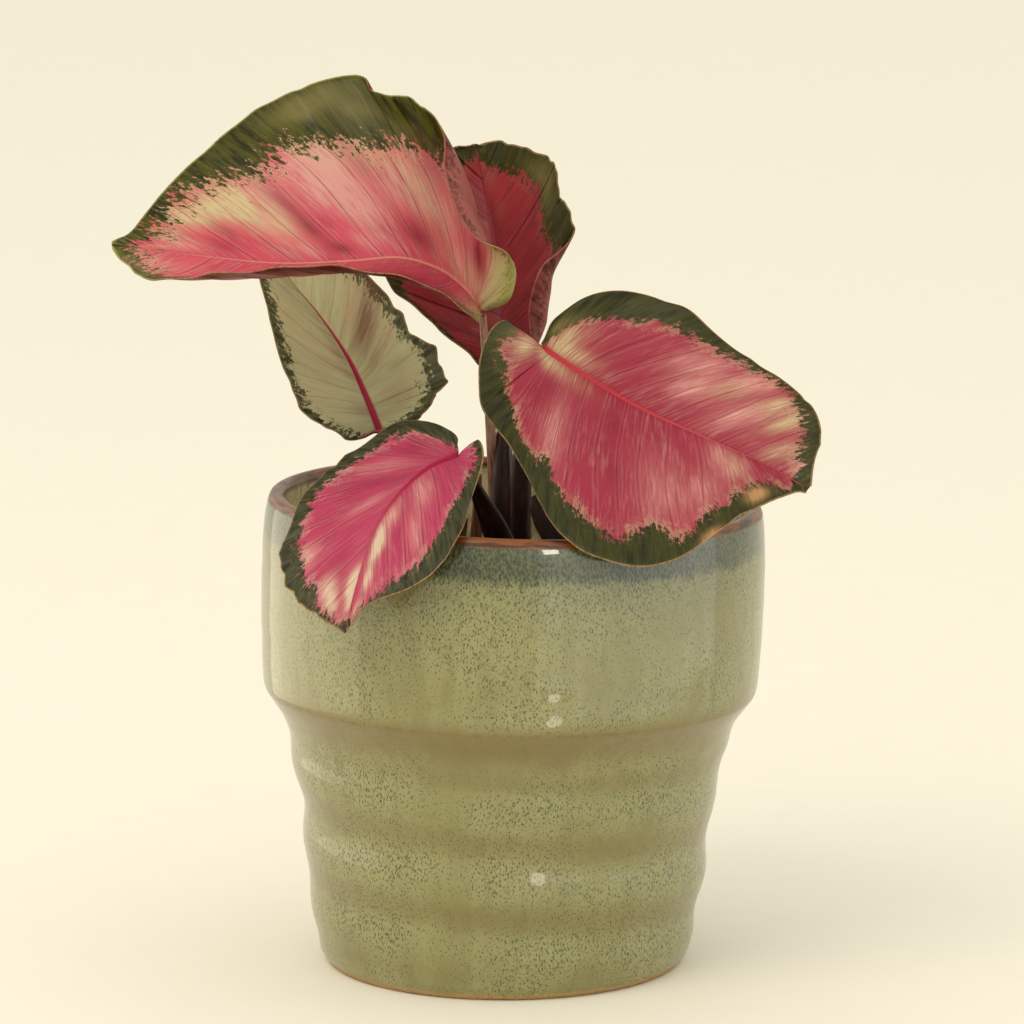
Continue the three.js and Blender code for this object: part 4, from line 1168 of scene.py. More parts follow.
def blade_pattern():
    """The markings of a blade, laid along its side veins, for the upper and the lower skin."""
    tree, w, start, end = skin_group("Blade Pattern", BLADE_PLACES, PATTERN_COLOURS, PATTERN_NUMBERS)
    run, out, along = w.split(start["Vein Map"])
    margin, edge = w.split(start["Border"])[:2]
    cream, deep, olive = w.split(start["Paint"])
    tan, pale = w.split(start["Wear"])[:2]

    def grain(by_run, by_out, seed, detail, roughness=0.5):
        """A noise that is finer across the side veins than along them."""
        point = w.vector(w.product(run, by_run), w.product(out, by_out), seed)
        return w.noise(point, 1.0, detail, roughness)

    def streaked(paint, low, gain, most):
        """A painted amount broken into streaks that run along the side veins."""
        wave = w.sum(w.product(strand, gain * 0.9), w.product(thread, gain * 1.1), low - 0.2 * gain)
        return w.product(w.math("MULTIPLY", paint, wave, clamp=True), most)

    def from_line(turns):
        """How far the nearest of the lines is, one line lying in each turn."""
        return w.math("ABSOLUTE", w.math("SUBTRACT", w.math("FRACT", turns), 0.5))

    thread = grain(1.7, 0.11, 1.0, 4.0, 0.6)
    strand = grain(0.55, 0.09, 4.0, 4.0, 0.65)
    broad = grain(0.2, 0.06, 9.0, 3.0)
    cloud = grain(0.07, 0.06, 15.0, 2.0)

    # The face: dark clouds, pale streaks, and the painted pale and cream patches.
    uneven = w.weighted((strand, 0.45), (broad, 0.4), (cloud, 0.35))
    colour = w.paint(start["Face"], start["Shadow"], w.step(uneven, 0.5, 0.78), start["Mottle"])
    light = w.step(w.weighted((strand, 0.5), (thread, 0.3), (cloud, 0.2)), 0.49, 0.64)
    colour = w.paint(colour, start["Pale"], light, start["Streaks"], 0.4)
    brushed = w.product(w.step(thread, 0.48, 0.66), w.step(broad, 0.42, 0.62), start["Streaks"])
    colour = w.paint(colour, start["Pale"], brushed, 0.35)
    colour = w.paint(colour, start["Shadow"], w.step(thread, 0.47, 0.34), start["Mottle"], 0.3)
    colour = w.paint(colour, start["Pale"], streaked(pale, -0.55, 1.6, 0.9))
    colour = w.paint(colour, start["Cream"], streaked(cream, -0.6, 1.6, 0.92))

    # The side veins: a dark line with a pale flank at each pitch, and four finer lines between.
    turns = w.math("DIVIDE", run, start["Vein Pitch"])
    bend = grain(0.05, 0.018, 33.0, 0.0)
    away = w.product(from_line(w.sum(turns, w.product(bend, 1.5))), start["Vein Pitch"])
    vein_line = w.step(away, 0.05, 0.26, 1.0, 0.0)
    vein_share = w.product(vein_line, start["Vein Strength"], w.step(broad, 0.35, 0.55, 0.35, 1.0))
    colour = w.paint(colour, start["Pale"], w.hump(away, 0.7, 0.5), start["Streaks"], 0.16)
    colour = w.paint(colour, start["Shadow"], vein_share)
    fine_turns = w.sum(w.product(turns, 5.0), w.product(bend, 7.5))
    fine_line = w.step(from_line(fine_turns), 0.04, 0.2, 1.0, 0.0)
    colour = w.paint(colour, start["Shadow"], fine_line, w.step(strand, 0.45, 0.6), 0.06)

    # The green border: its ragged front with islands, its flecks, worn patches that on the large blade are
    # partly painted highlight, and light fringe.
    ragged = grain(0.3, 0.14, 21.0, 3.0, 0.6)
    islands = grain(0.85, 0.42, 27.0, 5.0, 0.8)
    wander = w.sum(w.product(ragged, 8.0), w.product(islands, 19.0), -13.5)
    front = w.sum(margin, w.product(wander, start["Raggedness"]), w.step(along, 0.9, 0.98, 0.0, 6.0))
    green = w.paint(start["Margin"], start["Margin Shade"], w.step(strand, 0.38, 0.66))
    speckled = w.product(w.hump(margin, 0.8, 4.5), w.step(islands, 0.4, 0.52, 1.0, 0.0))
    green = w.paint(green, start["Fleck"], speckled, start["Streaks"], 0.8)
    green = w.paint(green, start["Fleck"], w.step(thread, 0.5, 0.72), 0.14)
    green = w.paint(green, start["Margin Shade"], vein_share, 0.6)
    green = w.paint(green, start["Olive"], streaked(olive, -0.1, 1.2, 0.85))
    fringe = w.product(w.hump(front, -1.2, 2.6), w.step(broad, 0.4, 0.56))
    colour = w.paint(colour, start["Cream"], fringe, start["Streaks"], 0.6)
    colour = w.paint(colour, green, w.step(front, -0.4, 0.4))
    # Deep paint, laid over the border as well: dark red blotches, and painted shade on the large blade's
    # turned-down left half.
    colour = w.paint(colour, start["Shadow"], streaked(deep, -0.35, 1.3, 0.8))

    # The midrib, which narrows and pales towards the tip, and the dry line round the edge.
    half_width = w.product(start["Midrib Width"], w.math("SUBTRACT", 1.0, w.product(along, RIB_TAPER)))
    rib_share = w.step(w.math("DIVIDE", out, half_width), 0.55, 1.25, 1.0, 0.0)
    rib_colour = w.paint(start["Midrib"], start["Pale"], w.step(along, 0.2, 1.0, 0.0, 0.35))
    colour = w.paint(colour, rib_colour, rib_share, w.step(along, 1.0, 0.96))
    colour = w.paint(colour, start["Edge"], streaked(tan, -0.2, 1.1, 0.9))
    edge_share = w.product(w.step(edge, 0.08, 0.4, 1.0, 0.0), w.step(islands, 0.35, 0.6, 0.2, 0.7))
    colour = w.paint(colour, start["Edge"], edge_share)

    w.feed(end["Color"], colour)
    w.feed(end["Roughness"], w.sum(0.34, w.product(strand, 0.16), w.product(w.step(cloud, 0.4, 0.7), 0.08)))
    w.feed(end["Height"], w.weighted((thread, 0.3), (strand, 0.5), (vein_line, -0.35)))
    return tree


def sweep(route, girth, groove):
    """Points, faces and values of a closed stalk: its section is a half width and a half depth."""
    curve, tangents, length = even_curve(route, STALK_STEPS + 1)
    shares = np.linspace(0, 1, STALK_STEPS + 1)
    at, wide, deep = (np.array(column, dtype=float) for column in zip(*girth))
    wide, deep = np.interp(shares, at, wide), np.interp(shares, at, deep)
    across = unit(np.array([1.0, 0, 0]) - tangents * tangents[:, :1])
    depth = np.cross(tangents, across)
    angles = np.arange(STALK_SIDES) * 2 * np.pi / STALK_SIDES
    dent = 1 - groove * np.exp(-((np.sin((angles - GROOVE_ANGLE) / 2) / GROOVE_SPAN) ** 2))
    ring_x = (np.cos(angles) * dent)[None, :, None]
    ring_y = (np.sin(angles) * dent)[None, :, None]
    points = curve[:, None] + across[:, None] * wide[:, None, None] * ring_x
    points = points + depth[:, None] * deep[:, None, None] * ring_y
    faces = []
    for step in range(STALK_STEPS):
        for side in range(STALK_SIDES):
            after = (side + 1) % STALK_SIDES
            low, high = step * STALK_SIDES, (step + 1) * STALK_SIDES
            faces.append((low + side, low + after, high + after, high + side))
    faces.append(tuple(range(STALK_SIDES - 1, -1, -1)))
    faces.append(tuple(STALK_STEPS * STALK_SIDES + side for side in range(STALK_SIDES)))
    runs = np.repeat(shares * length, STALK_SIDES)
    values = np.stack([runs, np.tile(angles, STALK_STEPS + 1)], axis=1)
    return points.reshape(-1, 3), faces, {"stalk_map": values}


def fibre_grain():
    """Fine lengthwise fibres and small marks, for stalks and dry sheaths."""
    numbers = {"Fibres": 6.0, "Marks": 0.4}
    tree, w, start, end = skin_group("Fibre Grain", ["Stalk Map"], ["Skin", "Shade", "Light"], numbers)
    run, angle = w.split(start["Stalk Map"])[:2]
    round_x = w.math("MULTIPLY", w.math("COSINE", angle), start["Fibres"])
    round_y = w.math("MULTIPLY", w.math("SINE", angle), start["Fibres"])
    point = w.vector(round_x, round_y, run)
    fibres = w.noise(w.stretched(point, 1.0, 0.12), 1.0, 3.0, 0.6)
    patches = w.noise(w.stretched(point, 0.3, 0.08))
    marks = w.cells(w.stretched(point, 1.0, 0.5), 1.2)
    colour = w.paint(start["Skin"], start["Shade"], w.step(fibres, 0.35, 0.7))
    colour = w.paint(colour, start["Light"], w.step(patches, 0.45, 0.7), 0.6)
    colour = w.paint(colour, start["Light"], w.step(marks, 0.05, 0.2, 1.0, 0.0), start["Marks"])
    w.feed(end["Color"], colour)
    w.feed(end["Roughness"], w.sum(0.32, w.product(fibres, 0.3)))
    w.feed(end["Height"], w.sum(fibres, w.product(patches, 0.4)))
    return tree


def glaze_material(colours):
    """Speckled sage glaze with a brown lip, a dark band under the rim, painted light and shade on the
    throwing rings, brown painted shade under the shoulder and a bare foot.
    """
    settings = {"Coat Weight": GLAZE_COAT, "Coat Roughness": 0.04, "Specular IOR Level": 0.4}
    material, w, shader = new_material("sage_glaze", settings)
    height, outside = w.split(w.attribute("wall"))[:2]
    ring = w.attribute("ring", "Fac")
    flank = w.attribute("flank", "Fac")
    point = w.place(1 / MM)
    tall = w.stretched(point, 1.0, 0.55)
    cloud = w.noise(point, 0.035, 3.0, 0.5)
    mottle = w.noise(tall, 0.3, 4.0, 0.6)
    fine = w.noise(tall, 1.7, 3.0, 0.6)
    runs = w.noise(w.stretched(point, 1.0, 0.12), 0.16, 3.0, 0.55)

    # Clouds of the glaze. On the rings the upward-facing upper flanks are lighter as painted light, and the
    # downward-facing lower flanks are browner, partly glaze gathered there and partly painted shade.
    thin = w.step(w.weighted((cloud, 0.6), (runs, 0.4)), 0.36, 0.62)
    colour = w.paint(colours.glaze, colours.thin_and_lit_glaze, thin)
    colour = w.paint(colour, colours.glaze_shade, w.step(mottle, 0.45, 0.66), 0.3)
    colour = w.paint(colour, colours.thin_and_lit_glaze, w.step(fine, 0.5, 0.7), 0.25)
    # Painted light: the upper flanks of the rings, which face up, are made lighter.
    colour = w.paint(colour, colours.thin_and_lit_glaze, w.step(flank, 0.0, 1.0), outside, 0.3)
    # Partly gathered glaze and partly painted shade: the lower flanks, which face down, are made browner.
    gathered_and_shaded = w.step(w.sum(flank, w.product(ring, 0.5)), 0.2, -1.3)
    colour = w.paint(colour, colours.groove_and_shade_glaze, gathered_and_shaded, outside, 0.42)
    # Painted shade: the slope under the shoulder, which faces down, is made brown.
    uneven = w.swung(height, mottle, 3.0)
    shaded_hollow = w.product(w.step(uneven, *SHADED_HOLLOW_START), w.step(uneven, *SHADED_HOLLOW_END), outside)
    colour = w.paint(colour, colours.groove_and_shade_glaze, shaded_hollow, 0.65)
    brim = w.product(w.hump(height, *BRIM), w.step(mottle, 0.4, 0.6), outside)
    colour = w.paint(colour, colours.lip_light, brim, 0.35)

    # The dark band under the rim, which runs down in a fringe.
    ragged = w.swung(w.swung(height, runs, 6.0), fine, 5.0)
    band = w.product(w.step(ragged, *BAND_EDGE), outside)
    fringe = w.product(w.step(ragged, *FRINGE_EDGE), outside)
    colour = w.paint(colour, colours.band, band, 0.85)
    colour = w.paint(colour, colours.band, fringe, 0.25)

    # Specks in two sizes, larger where the glaze is thick.
    thick = w.sum(w.step(cloud, 0.35, 0.6, 0.6, 1.0), w.product(flank, 0.15), w.product(fringe, 0.15))
    thick = w.math("SUBTRACT", thick, w.product(shaded_hollow, 0.4))

    def specks(cell, in_band, size, core):
        """One speck to a cell, solid out to the core's share of its size."""
        reach = w.product(w.sum(thick, w.product(band, in_band)), size)
        away = w.product(w.cells(tall, 1.0 / cell), cell)
        return w.step(away, w.product(reach, core), reach, 1.0, 0.0)

    speck_colour = w.paint(colours.speckle, colours.band_dark, band)
    colour = w.paint(colour, speck_colour, specks(SMALL_CELL, 0.45, 0.23, 0.5), 0.6)
    firm = w.step(fine, 0.3, 0.55, 0.5, 0.9)
    colour = w.paint(colour, speck_colour, specks(LARGE_CELL, 0.5, 0.29, 0.55), firm)

    # The brown lip, the glaze inside and the bare foot.
    rough_height = w.swung(height, mottle, 1.2)
    lip = w.step(rough_height, *LIP_EDGE)
    lip_streaks = w.noise(w.stretched(point, 0.1, 1.0), 1.1, 3.0, 0.6)
    lip_colour = w.paint(colours.lip, colours.lip_light, w.step(lip_streaks, 0.4, 0.58))
    colour = w.paint(colour, lip_colour, lip)
    inner_colour = w.paint(colours.inner_glaze, colours.thin_and_lit_glaze, w.step(mottle, 0.4, 0.7))
    inner = w.product(w.step(outside, 0.5, 0.4), w.step(rough_height, *INNER_EDGE))
    colour = w.paint(colour, inner_colour, inner)
    foot = w.product(w.step(rough_height, *FOOT_EDGE), outside)
    colour = w.paint(colour, w.paint(colours.clay, colours.clay_shade, w.step(fine, 0.4, 0.7)), foot)

    glazed = w.math("SUBTRACT", 1.0, foot)
    coated = w.math("SUBTRACT", 1.0, w.product(lip, 0.85))
    w.feed(shader.inputs["Coat Weight"], w.product(glazed, coated, GLAZE_COAT))
    rough = w.sum(0.3, w.product(fine, 0.12), w.product(mottle, 0.08), w.product(foot, 0.35))
    chatter = w.noise(w.stretched(point, 0.03, 1.0), 0.5, 2.0, 0.5)
    relief = w.weighted((fine, 0.12), (mottle, 0.5), (chatter, 0.5))
    dress(w, shader, colour, rough, relief, GLAZE_RELIEF, 0.6)
    return material


def throwing_tree():
    """Gives a plain turned pot its throwing rings, a wandering wall, a tilted rim and a lean."""
    inputs = [
        ("Geometry", "NodeSocketGeometry", None),
        ("Ring Depth", "NodeSocketFloat", 0.00055),
        ("Ring Pitch", "NodeSocketFloat", 0.021),
        ("Ring Crest Height", "NodeSocketFloat", 0.0575),
        ("Ring Start", "NodeSocketFloat", 0.003),
        ("Ring End", "NodeSocketFloat", 0.072),
        ("Wander", "NodeSocketFloat", 0.0003),
        ("Rim Height", "NodeSocketFloat", 0.134),
        ("Rim Tilt", "NodeSocketFloat", 0.0317),
        ("Lean", "NodeSocketFloat", 0.0032),
        ("Material", "NodeSocketMaterial", None),
    ]
    outputs = [("Geometry", "NodeSocketGeometry")]
    tree, w, start, end = node_group("Throw Pot", "GeometryNodeTree", inputs, outputs)
    position = w.made("GeometryNodeInputPosition")
    x, y, z = w.split(position)
    wall = w.made("GeometryNodeInputNamedAttribute", {0: "wall"}, data_type="FLOAT_VECTOR")
    outside = w.split(wall)[1]
    turn = w.math("DIVIDE", w.math("SUBTRACT", w.math("ARCTAN2", y, x), math.pi), 2 * math.pi)
    climb = w.math("DIVIDE", w.math("SUBTRACT", z, start["Ring Crest Height"]), start["Ring Pitch"])
    phase = w.product(w.sum(climb, turn), 2 * math.pi)
    fade_in = w.step(z, start["Ring Start"], w.product(start["Ring Start"], 4.0))
    fade_out = w.step(z, w.math("SUBTRACT", start["Ring End"], RING_FADE), start["Ring End"], 1.0, 0.0)
    ring = w.product(w.math("COSINE", phase), fade_in, fade_out, outside)
    flank = w.product(w.math("SINE", phase), fade_in, fade_out, outside)
    marked = start["Geometry"]
    for label, value in (("ring", ring), ("flank", flank)):
        kept = {"Geometry": marked, "Name": label, "Value": value}
        marked = w.made("GeometryNodeStoreNamedAttribute", kept, data_type="FLOAT", domain="POINT")
    uneven = w.noise(w.stretched(position, 14.0, 60.0))
    swing = w.product(w.math("SUBTRACT", uneven, 0.5), start["Wander"], fade_in, 2.0)
    flat = w.vector_math("NORMALIZE", {0: w.vector(x, y, 0.0)})
    out = w.sum(w.product(ring, start["Ring Depth"]), swing)
    push = w.vector_math("SCALE", {0: flat, "Scale": out})
    height_share = w.math("DIVIDE", w.math("MAXIMUM", z, 0.0), start["Rim Height"])
    drop = w.product(x, start["Rim Tilt"], w.step(height_share, 0.15, 1.0), -1.0)
    shift = w.product(start["Lean"], w.math("POWER", height_share, 1.3))
    offset = w.vector_math("ADD", {0: push, 1: w.vector(shift, 0.0, drop)})
    thrown = w.made("GeometryNodeSetPosition", {"Geometry": marked, "Offset": offset})
    real = w.made("GeometryNodeRealizeInstances", {"Geometry": thrown})
    finish = {"Geometry": real, "Material": start["Material"]}
    w.feed(end["Geometry"], w.made("GeometryNodeSetMaterial", finish))
    return tree


def crumb_tree():
    """Strews crumbs of soil over a surface, each turned and stretched its own way."""
    inputs = [
        ("Geometry", "NodeSocketGeometry", None),
        ("Crumbs per Square Metre", "NodeSocketFloat", 120000.0),
        ("Smallest", "NodeSocketFloat", 0.0005),
        ("Largest", "NodeSocketFloat", 0.0019),
        ("Roughness of Shape", "NodeSocketFloat", 0.0007),
        ("Seed", "NodeSocketInt", SEED),
        ("Material", "NodeSocketMaterial", None),
    ]
    outputs = [("Geometry", "NodeSocketGeometry")]
    tree, w, start, end = node_group("Scatter Crumbs", "GeometryNodeTree", inputs, outputs)

    def chance(kind, place, shift, bounds):
        """A random value for each crumb, with a seed of its own."""
        values = {"Seed": w.math("ADD", start["Seed"], shift), **bounds}
        return w.add("FunctionNodeRandomValue", {"data_type": kind}, values).outputs[place]

    strewn = w.made(
        "GeometryNodeDistributePointsOnFaces",
        {"Mesh": start["Geometry"], "Density": start["Crumbs per Square Metre"], "Seed": start["Seed"]},
        distribute_method="RANDOM",
    )
    crumb = w.made("GeometryNodeMeshIcoSphere", {"Radius": 1.0, "Subdivisions": 2})
    turned = chance("FLOAT_VECTOR", 0, 0.0, {"Max": (2 * math.pi,) * 3})
    share = w.math("POWER", chance("FLOAT", 1, 1.0, {}), 3.0)
    squash = chance("FLOAT_VECTOR", 0, 2.0, {"Min": (0.7, 0.5, 0.4), "Max": (1.3, 1.0, 0.8)})
    span = w.math("SUBTRACT", start["Largest"], start["Smallest"])
    size = w.sum(start["Smallest"], w.product(share, span))
    scale = w.vector_math("SCALE", {0: squash, "Scale": size})
    each = {"Points": strewn, "Instance": crumb, "Rotation": turned, "Scale": scale}
    placed = w.made("GeometryNodeInstanceOnPoints", each)
    real = w.made("GeometryNodeRealizeInstances", {"Geometry": placed})
    point = w.made("GeometryNodeInputPosition")
    shaken = w.add("ShaderNodeTexNoise", None, {"Vector": point, "Scale": 700.0, "Detail": 1.0}).outputs[1]
    centred = w.vector_math("SUBTRACT", {0: shaken, 1: (0.5, 0.5, 0.5)})
    offset = w.vector_math("SCALE", {0: centred, "Scale": start["Roughness of Shape"]})
    rough = w.made("GeometryNodeSetPosition", {"Geometry": real, "Offset": offset})
    finish = {"Geometry": rough, "Material": start["Material"]}
    w.feed(end["Geometry"], w.made("GeometryNodeSetMaterial", finish))
    return tree


def soil_material(colours):
    """Damp crumbly soil with dry flecks."""
    material, w, shader = new_material("potting_soil", {"Specular IOR Level": 0.25})
    point = w.place(1 / MM)
    coarse = w.noise(point, 0.35, 3.0, 0.6)
    fine = w.noise(point, 1.8, 4.0, 0.7)
    flecks = w.cells(point, 0.6)
    colour = w.paint(colours.soil_dark, colours.soil, w.step(coarse, 0.35, 0.65))
    colour = w.paint(colour, colours.soil_light, w.step(fine, 0.55, 0.75), 0.6)
    colour = w.paint(colour, colours.soil_light, w.step(flecks, 0.16, 0.1), 0.5)
    rough = w.sum(0.78, w.product(fine, 0.2))
    dress(w, shader, colour, rough, w.sum(coarse, w.product(fine, 0.6)), SOIL_RELIEF, 0.9)
    return material


def plastic_material(colours):
    """Brown moulded plastic with dust on it and scuffs round it."""
    material, w, shader = new_material("moulded_plastic", {"Specular IOR Level": 0.45})
    point = w.place(1 / MM)
    dust = w.noise(point, 0.25, 4.0, 0.6)
    grain = w.noise(point, 4.0, 2.0, 0.5)
    scuff = w.noise(w.stretched(point, 0.2, 2.5), 1.0, 3.0, 0.6)
    colour = w.paint(colours.plastic, colours.plastic_dust, w.step(dust, 0.48, 0.75), 0.5)
    colour = w.paint(colour, colours.plastic_dust, w.step(scuff, 0.6, 0.75), 0.3)
    rough = w.sum(0.42, w.product(dust, 0.3))
    dress(w, shader, colour, rough, w.weighted((grain, 0.4), (scuff, 0.3)), PLASTIC_RELIEF, 0.6)
    return material


class BladeSettings(bpy.types.PropertyGroup):
    """Sizes and colours of the blades."""

    blade_thickness: length_value("Blade Thickness", "Thickness of a blade near its edge", 0.0004)
    midrib_height: length_value("Midrib Height", "How far the midrib stands out under a blade", 0.0009)
    rose: colour_value("Rose", "Upper face of the large blade", "ce4a62")
    front_rose: colour_value("Front Rose", "Upper face of the front blade", "982a42")
    magenta: colour_value("Magenta", "Upper face of the low blade", "b2385f")
    deep_rose: colour_value("Deep Rose", "Dark strokes on the rose blades", "7c1530")
    # The shaded blade's three colours below are darkened as painted shade.
    shaded_burgundy: colour_value("Burgundy", "Upper face of the shaded blade", "982c34")
    shaded_dark_burgundy: colour_value("Dark Burgundy", "Dark strokes of the shaded blade", "55161e")
    shaded_mauve: colour_value("Mauve", "Pale strokes of the shaded blade", "a3544f")
    silver: colour_value("Silver Green", "Upper face of the pale blade", "b9b98f")
    silver_shade: colour_value("Silver Shade", "Dark strokes of the pale blade", "743f32")
    silver_pink: colour_value("Silver Pink", "Pink strokes of the pale blade", "c09a80")
    pale_rose: colour_value("Pale Rose", "Pale pink strokes of the rose blades", "d89f99")
    cream: colour_value("Cream", "Cream strokes", "cbc397")
    margin: colour_value("Margin", "Green border of a blade", "35360d")
    cool_margin: colour_value("Cool Margin", "Grey-green border of the low blade", "41422b")
    soft_margin: colour_value("Soft Margin", "Green border of the pale blade", "54573a")
    fresh_margin: colour_value("Fresh Margin", "Green border of the large blade", "4b4c10")
    lime: colour_value("Lime", "Yellow-green base and edge of the large blade", "aca85f")
    milk: colour_value("Milk", "Pale strokes of the low blade", "d2bda6")
    margin_shade: colour_value("Margin Shade", "Dark green of the border", "1a1c05")
    fleck: colour_value("Fleck", "Yellow-green flecks where the border begins", "6c6a34")
    # Olive also serves, along the large blade's pleat, as painted highlight.
    olive: colour_value("Olive", "Worn beige-green patches in the border", "746c3c")
    midrib: colour_value("Midrib", "Midrib of the large blade", "d48c7c")
    coral: colour_value("Coral Midrib", "Midrib of the front blade", "bc3c4a")
    crimson: colour_value("Crimson Midrib", "Midrib of the pale and the low blade", "a01440")
    edge: colour_value("Dry Edge", "Thin dry line round a blade", "b38a5c")
    underside: colour_value("Underside", "Lower face of the blades", "9a4f4c")
    # This colour gives the dark strokes of the lower faces, and also painted shade on the large blade's
    # turned-down left half.
    underside_strokes_and_shade: colour_value("Underside Shade", "Dark strokes of the lower face", "420f0c")
    underside_light: colour_value("Underside Light", "Pale strokes of the lower face", "ac6660")
    underside_border: colour_value("Underside Border", "Border of the lower face", "7c3a32")


class StalkSettings(bpy.types.PropertyGroup):
    """Colours of the stalks and the dry sheaths."""

    pink: colour_value("Pink Stalk", "Pale stalks", "a8796a")
    pink_shade: colour_value("Pink Stalk Shade", "Dark fibres of the pale stalks", "6b3a38")
    pink_light: colour_value("Pink Stalk Light", "Light marks of the pale stalks", "cbab90")
    dark: colour_value("Dark Stalk", "Dark sheathed stalks", "2e1311")
    dark_shade: colour_value("Dark Stalk Shade", "Dark fibres of the dark stalks", "140706")
    dark_light: colour_value("Dark Stalk Light", "Dusty light marks of the dark stalks", "50302b")
    dry: colour_value("Dry Sheath", "Dead sheaths at the foot", "7c5034")
    dry_shade: colour_value("Dry Sheath Shade", "Dark fibres of the dead sheaths", "3a2118")
    dry_light: colour_value("Dry Sheath Light", "Pale fibres of the dead sheaths", "b08a60")


class PotSettings(bpy.types.PropertyGroup):
    """Shape and colours of the cover pot."""

    ring_depth: length_value("Ring Depth", "Height of the throwing rings", 0.00055)
    ring_pitch: length_value("Ring Pitch", "Height between two throwing rings", 0.021)
    wander: length_value("Wander", "How far the wall wanders", 0.0004)
    glaze: colour_value("Glaze", "Main sage of the glaze", "827e4c")
    # This light sage marks where the glaze is thin, and also paints light on the upward-facing upper flanks
    # of the rings.
    thin_and_lit_glaze: colour_value("Glaze Light", "Light sage where the glaze is thin", "939160")
    glaze_shade: colour_value("Glaze Shade", "Darker olive clouds in the glaze", "73703f")
    # This brown is glaze gathered on the lower flanks of the rings, and also painted shade there and on the
    # slope under the shoulder.
    groove_and_shade_glaze: colour_value("Glaze Groove", "Brown glaze gathered in the hollows", "735f27")
    band: colour_value("Rim Band", "Grey-green band under the rim", "4b5430")
    band_dark: colour_value("Rim Band Dark", "Dark specks of the band", "17210e")
    speckle: colour_value("Speckle", "Fine dark specks in the glaze", "3a3d1e")
    lip: colour_value("Lip", "Brown lip where the glaze breaks", "3c1902")
    lip_light: colour_value("Lip Light", "Light brown of the lip", "7a410a")
    inner_glaze: colour_value("Inner Glaze", "Glaze inside the pot", "e0d2a6")
    clay: colour_value("Clay", "Bare clay of the foot", "b3945f")
    clay_shade: colour_value("Clay Shade", "Darker bare clay", "94764a")


class GroundSettings(bpy.types.PropertyGroup):
    """The soil, its crumbs and the grower's pot."""

    crumbs: number_value("Crumbs per Square Metre", "How thick the loose soil lies", 130000.0)
    smallest: length_value("Smallest Crumb", "Half the size of the smallest crumb", 0.0005)
    largest: length_value("Largest Crumb", "Half the size of the largest crumb", 0.0021)
    seed: IntProperty(name="Seed", description="Changes how the crumbs lie", default=SEED, min=0)
    soil: colour_value("Soil", "Damp potting soil", "3a2a1e")
    soil_dark: colour_value("Soil Dark", "Dark hollows of the soil", "1e150f")
    soil_light: colour_value("Soil Light", "Fibres and dry crumbs", "7a6048")
    plastic: colour_value("Plastic", "Grower's pot", "57382c")
    plastic_dust: colour_value("Plastic Dust", "Dust and scuffs on the grower's pot", "8a6f5c")


class StageSettings(bpy.types.PropertyGroup):
    """The floor and the lights."""

    floor: colour_value("Floor", "Pale floor", "f6f3ec")
    key_power: number_value("Key Power", "Power of the main light", 14.0, "POWER")
    window_glow: number_value("Window Glow", "Brightness of the two small windows", 24.0)
    panel_glow: number_value("Panel Glow", "Brightness of the cool panel that the glaze mirrors", 0.9)
    side_glow: number_value("Side Glow", "Brightness of the warm panel at the left", 1.08)
    glint_glow: number_value("Glint Glow", "Brightness of the low glint on the throwing rings", 5.0)
    sky: colour_value("Room Light", "Colour of the light from all round", "fffae6")
    sky_strength: number_value("Room Strength", "Strength of the light from all round", 0.98)


class PlantSettings(bpy.types.PropertyGroup):
    """All the settings, group by group."""

    blades: PointerProperty(type=BladeSettings, name="Blades", description="Sizes and colours of the blades")
    stalks: PointerProperty(type=StalkSettings, name="Stalks", description="Colours of the stalks")
    pot: PointerProperty(type=PotSettings, name="Cover Pot", description="Shape and colours of the cover pot")
    ground: PointerProperty(type=GroundSettings, name="Soil and Inner Pot", description="Soil and inner pot")
    stage: PointerProperty(type=StageSettings, name="Stage", description="Floor and lights")


class CALATHEA_OT_cover_pot(bpy.types.Operator):
    """Turn, throw and glaze the cover pot"""

    bl_idname = "calathea.cover_pot"
    bl_label = "Cover Pot"

    def execute(self, context):
        settings = context.scene.calathea.pot
        outer = fine_profile(OUTER_PROFILE, OUTER_STEP, True)
        lip = fine_profile(LIP_PROFILE, LIP_STEP, True)
        inner = fine_profile(INNER_PROFILE, INNER_STEP, True)
        profile = np.vstack([outer, lip[1:], inner[1:]])
        outside = np.arange(len(profile)) < len(outer) + len(lip) // 2
        rows = np.stack([profile[:, 1], outside], axis=1)
        wall = np.vstack([np.repeat(rows[1:-1], POT_SIDES, axis=0), rows[0], rows[-1]])
        points, faces = lathe(profile, POT_SIDES)
        plain = mesh_from("glazed_cover_pot", points, faces, [], values={"wall": wall})
        thrown = {
            "Ring Depth": settings.ring_depth,
            "Ring Pitch": settings.ring_pitch,
            "Wander": settings.wander,
            "Material": glaze_material(settings),
        }
        mesh = through_tree("glazed_cover_pot", plain, throwing_tree(), thrown)
        piece_from("glazed_cover_pot", mesh, "cover_pot")
        return {"FINISHED"}


class CALATHEA_OT_grower_pot(bpy.types.Operator):
    """Mould the plastic grower's pot that stands inside"""

    bl_idname = "calathea.grower_pot"
    bl_label = "Grower's Pot"

    def execute(self, context):
        plastic = plastic_material(context.scene.calathea.ground)
        points, faces = lathe(fine_profile(GROWER_PROFILE, GROWER_STEP, False), GROWER_SIDES)
        points[:, 0] += GROWER_SHIFT_X
        mesh = mesh_from("moulded_grower_pot", points, faces, [plastic])
        piece_from("moulded_grower_pot", mesh, "grower_pot")
        return {"FINISHED"}


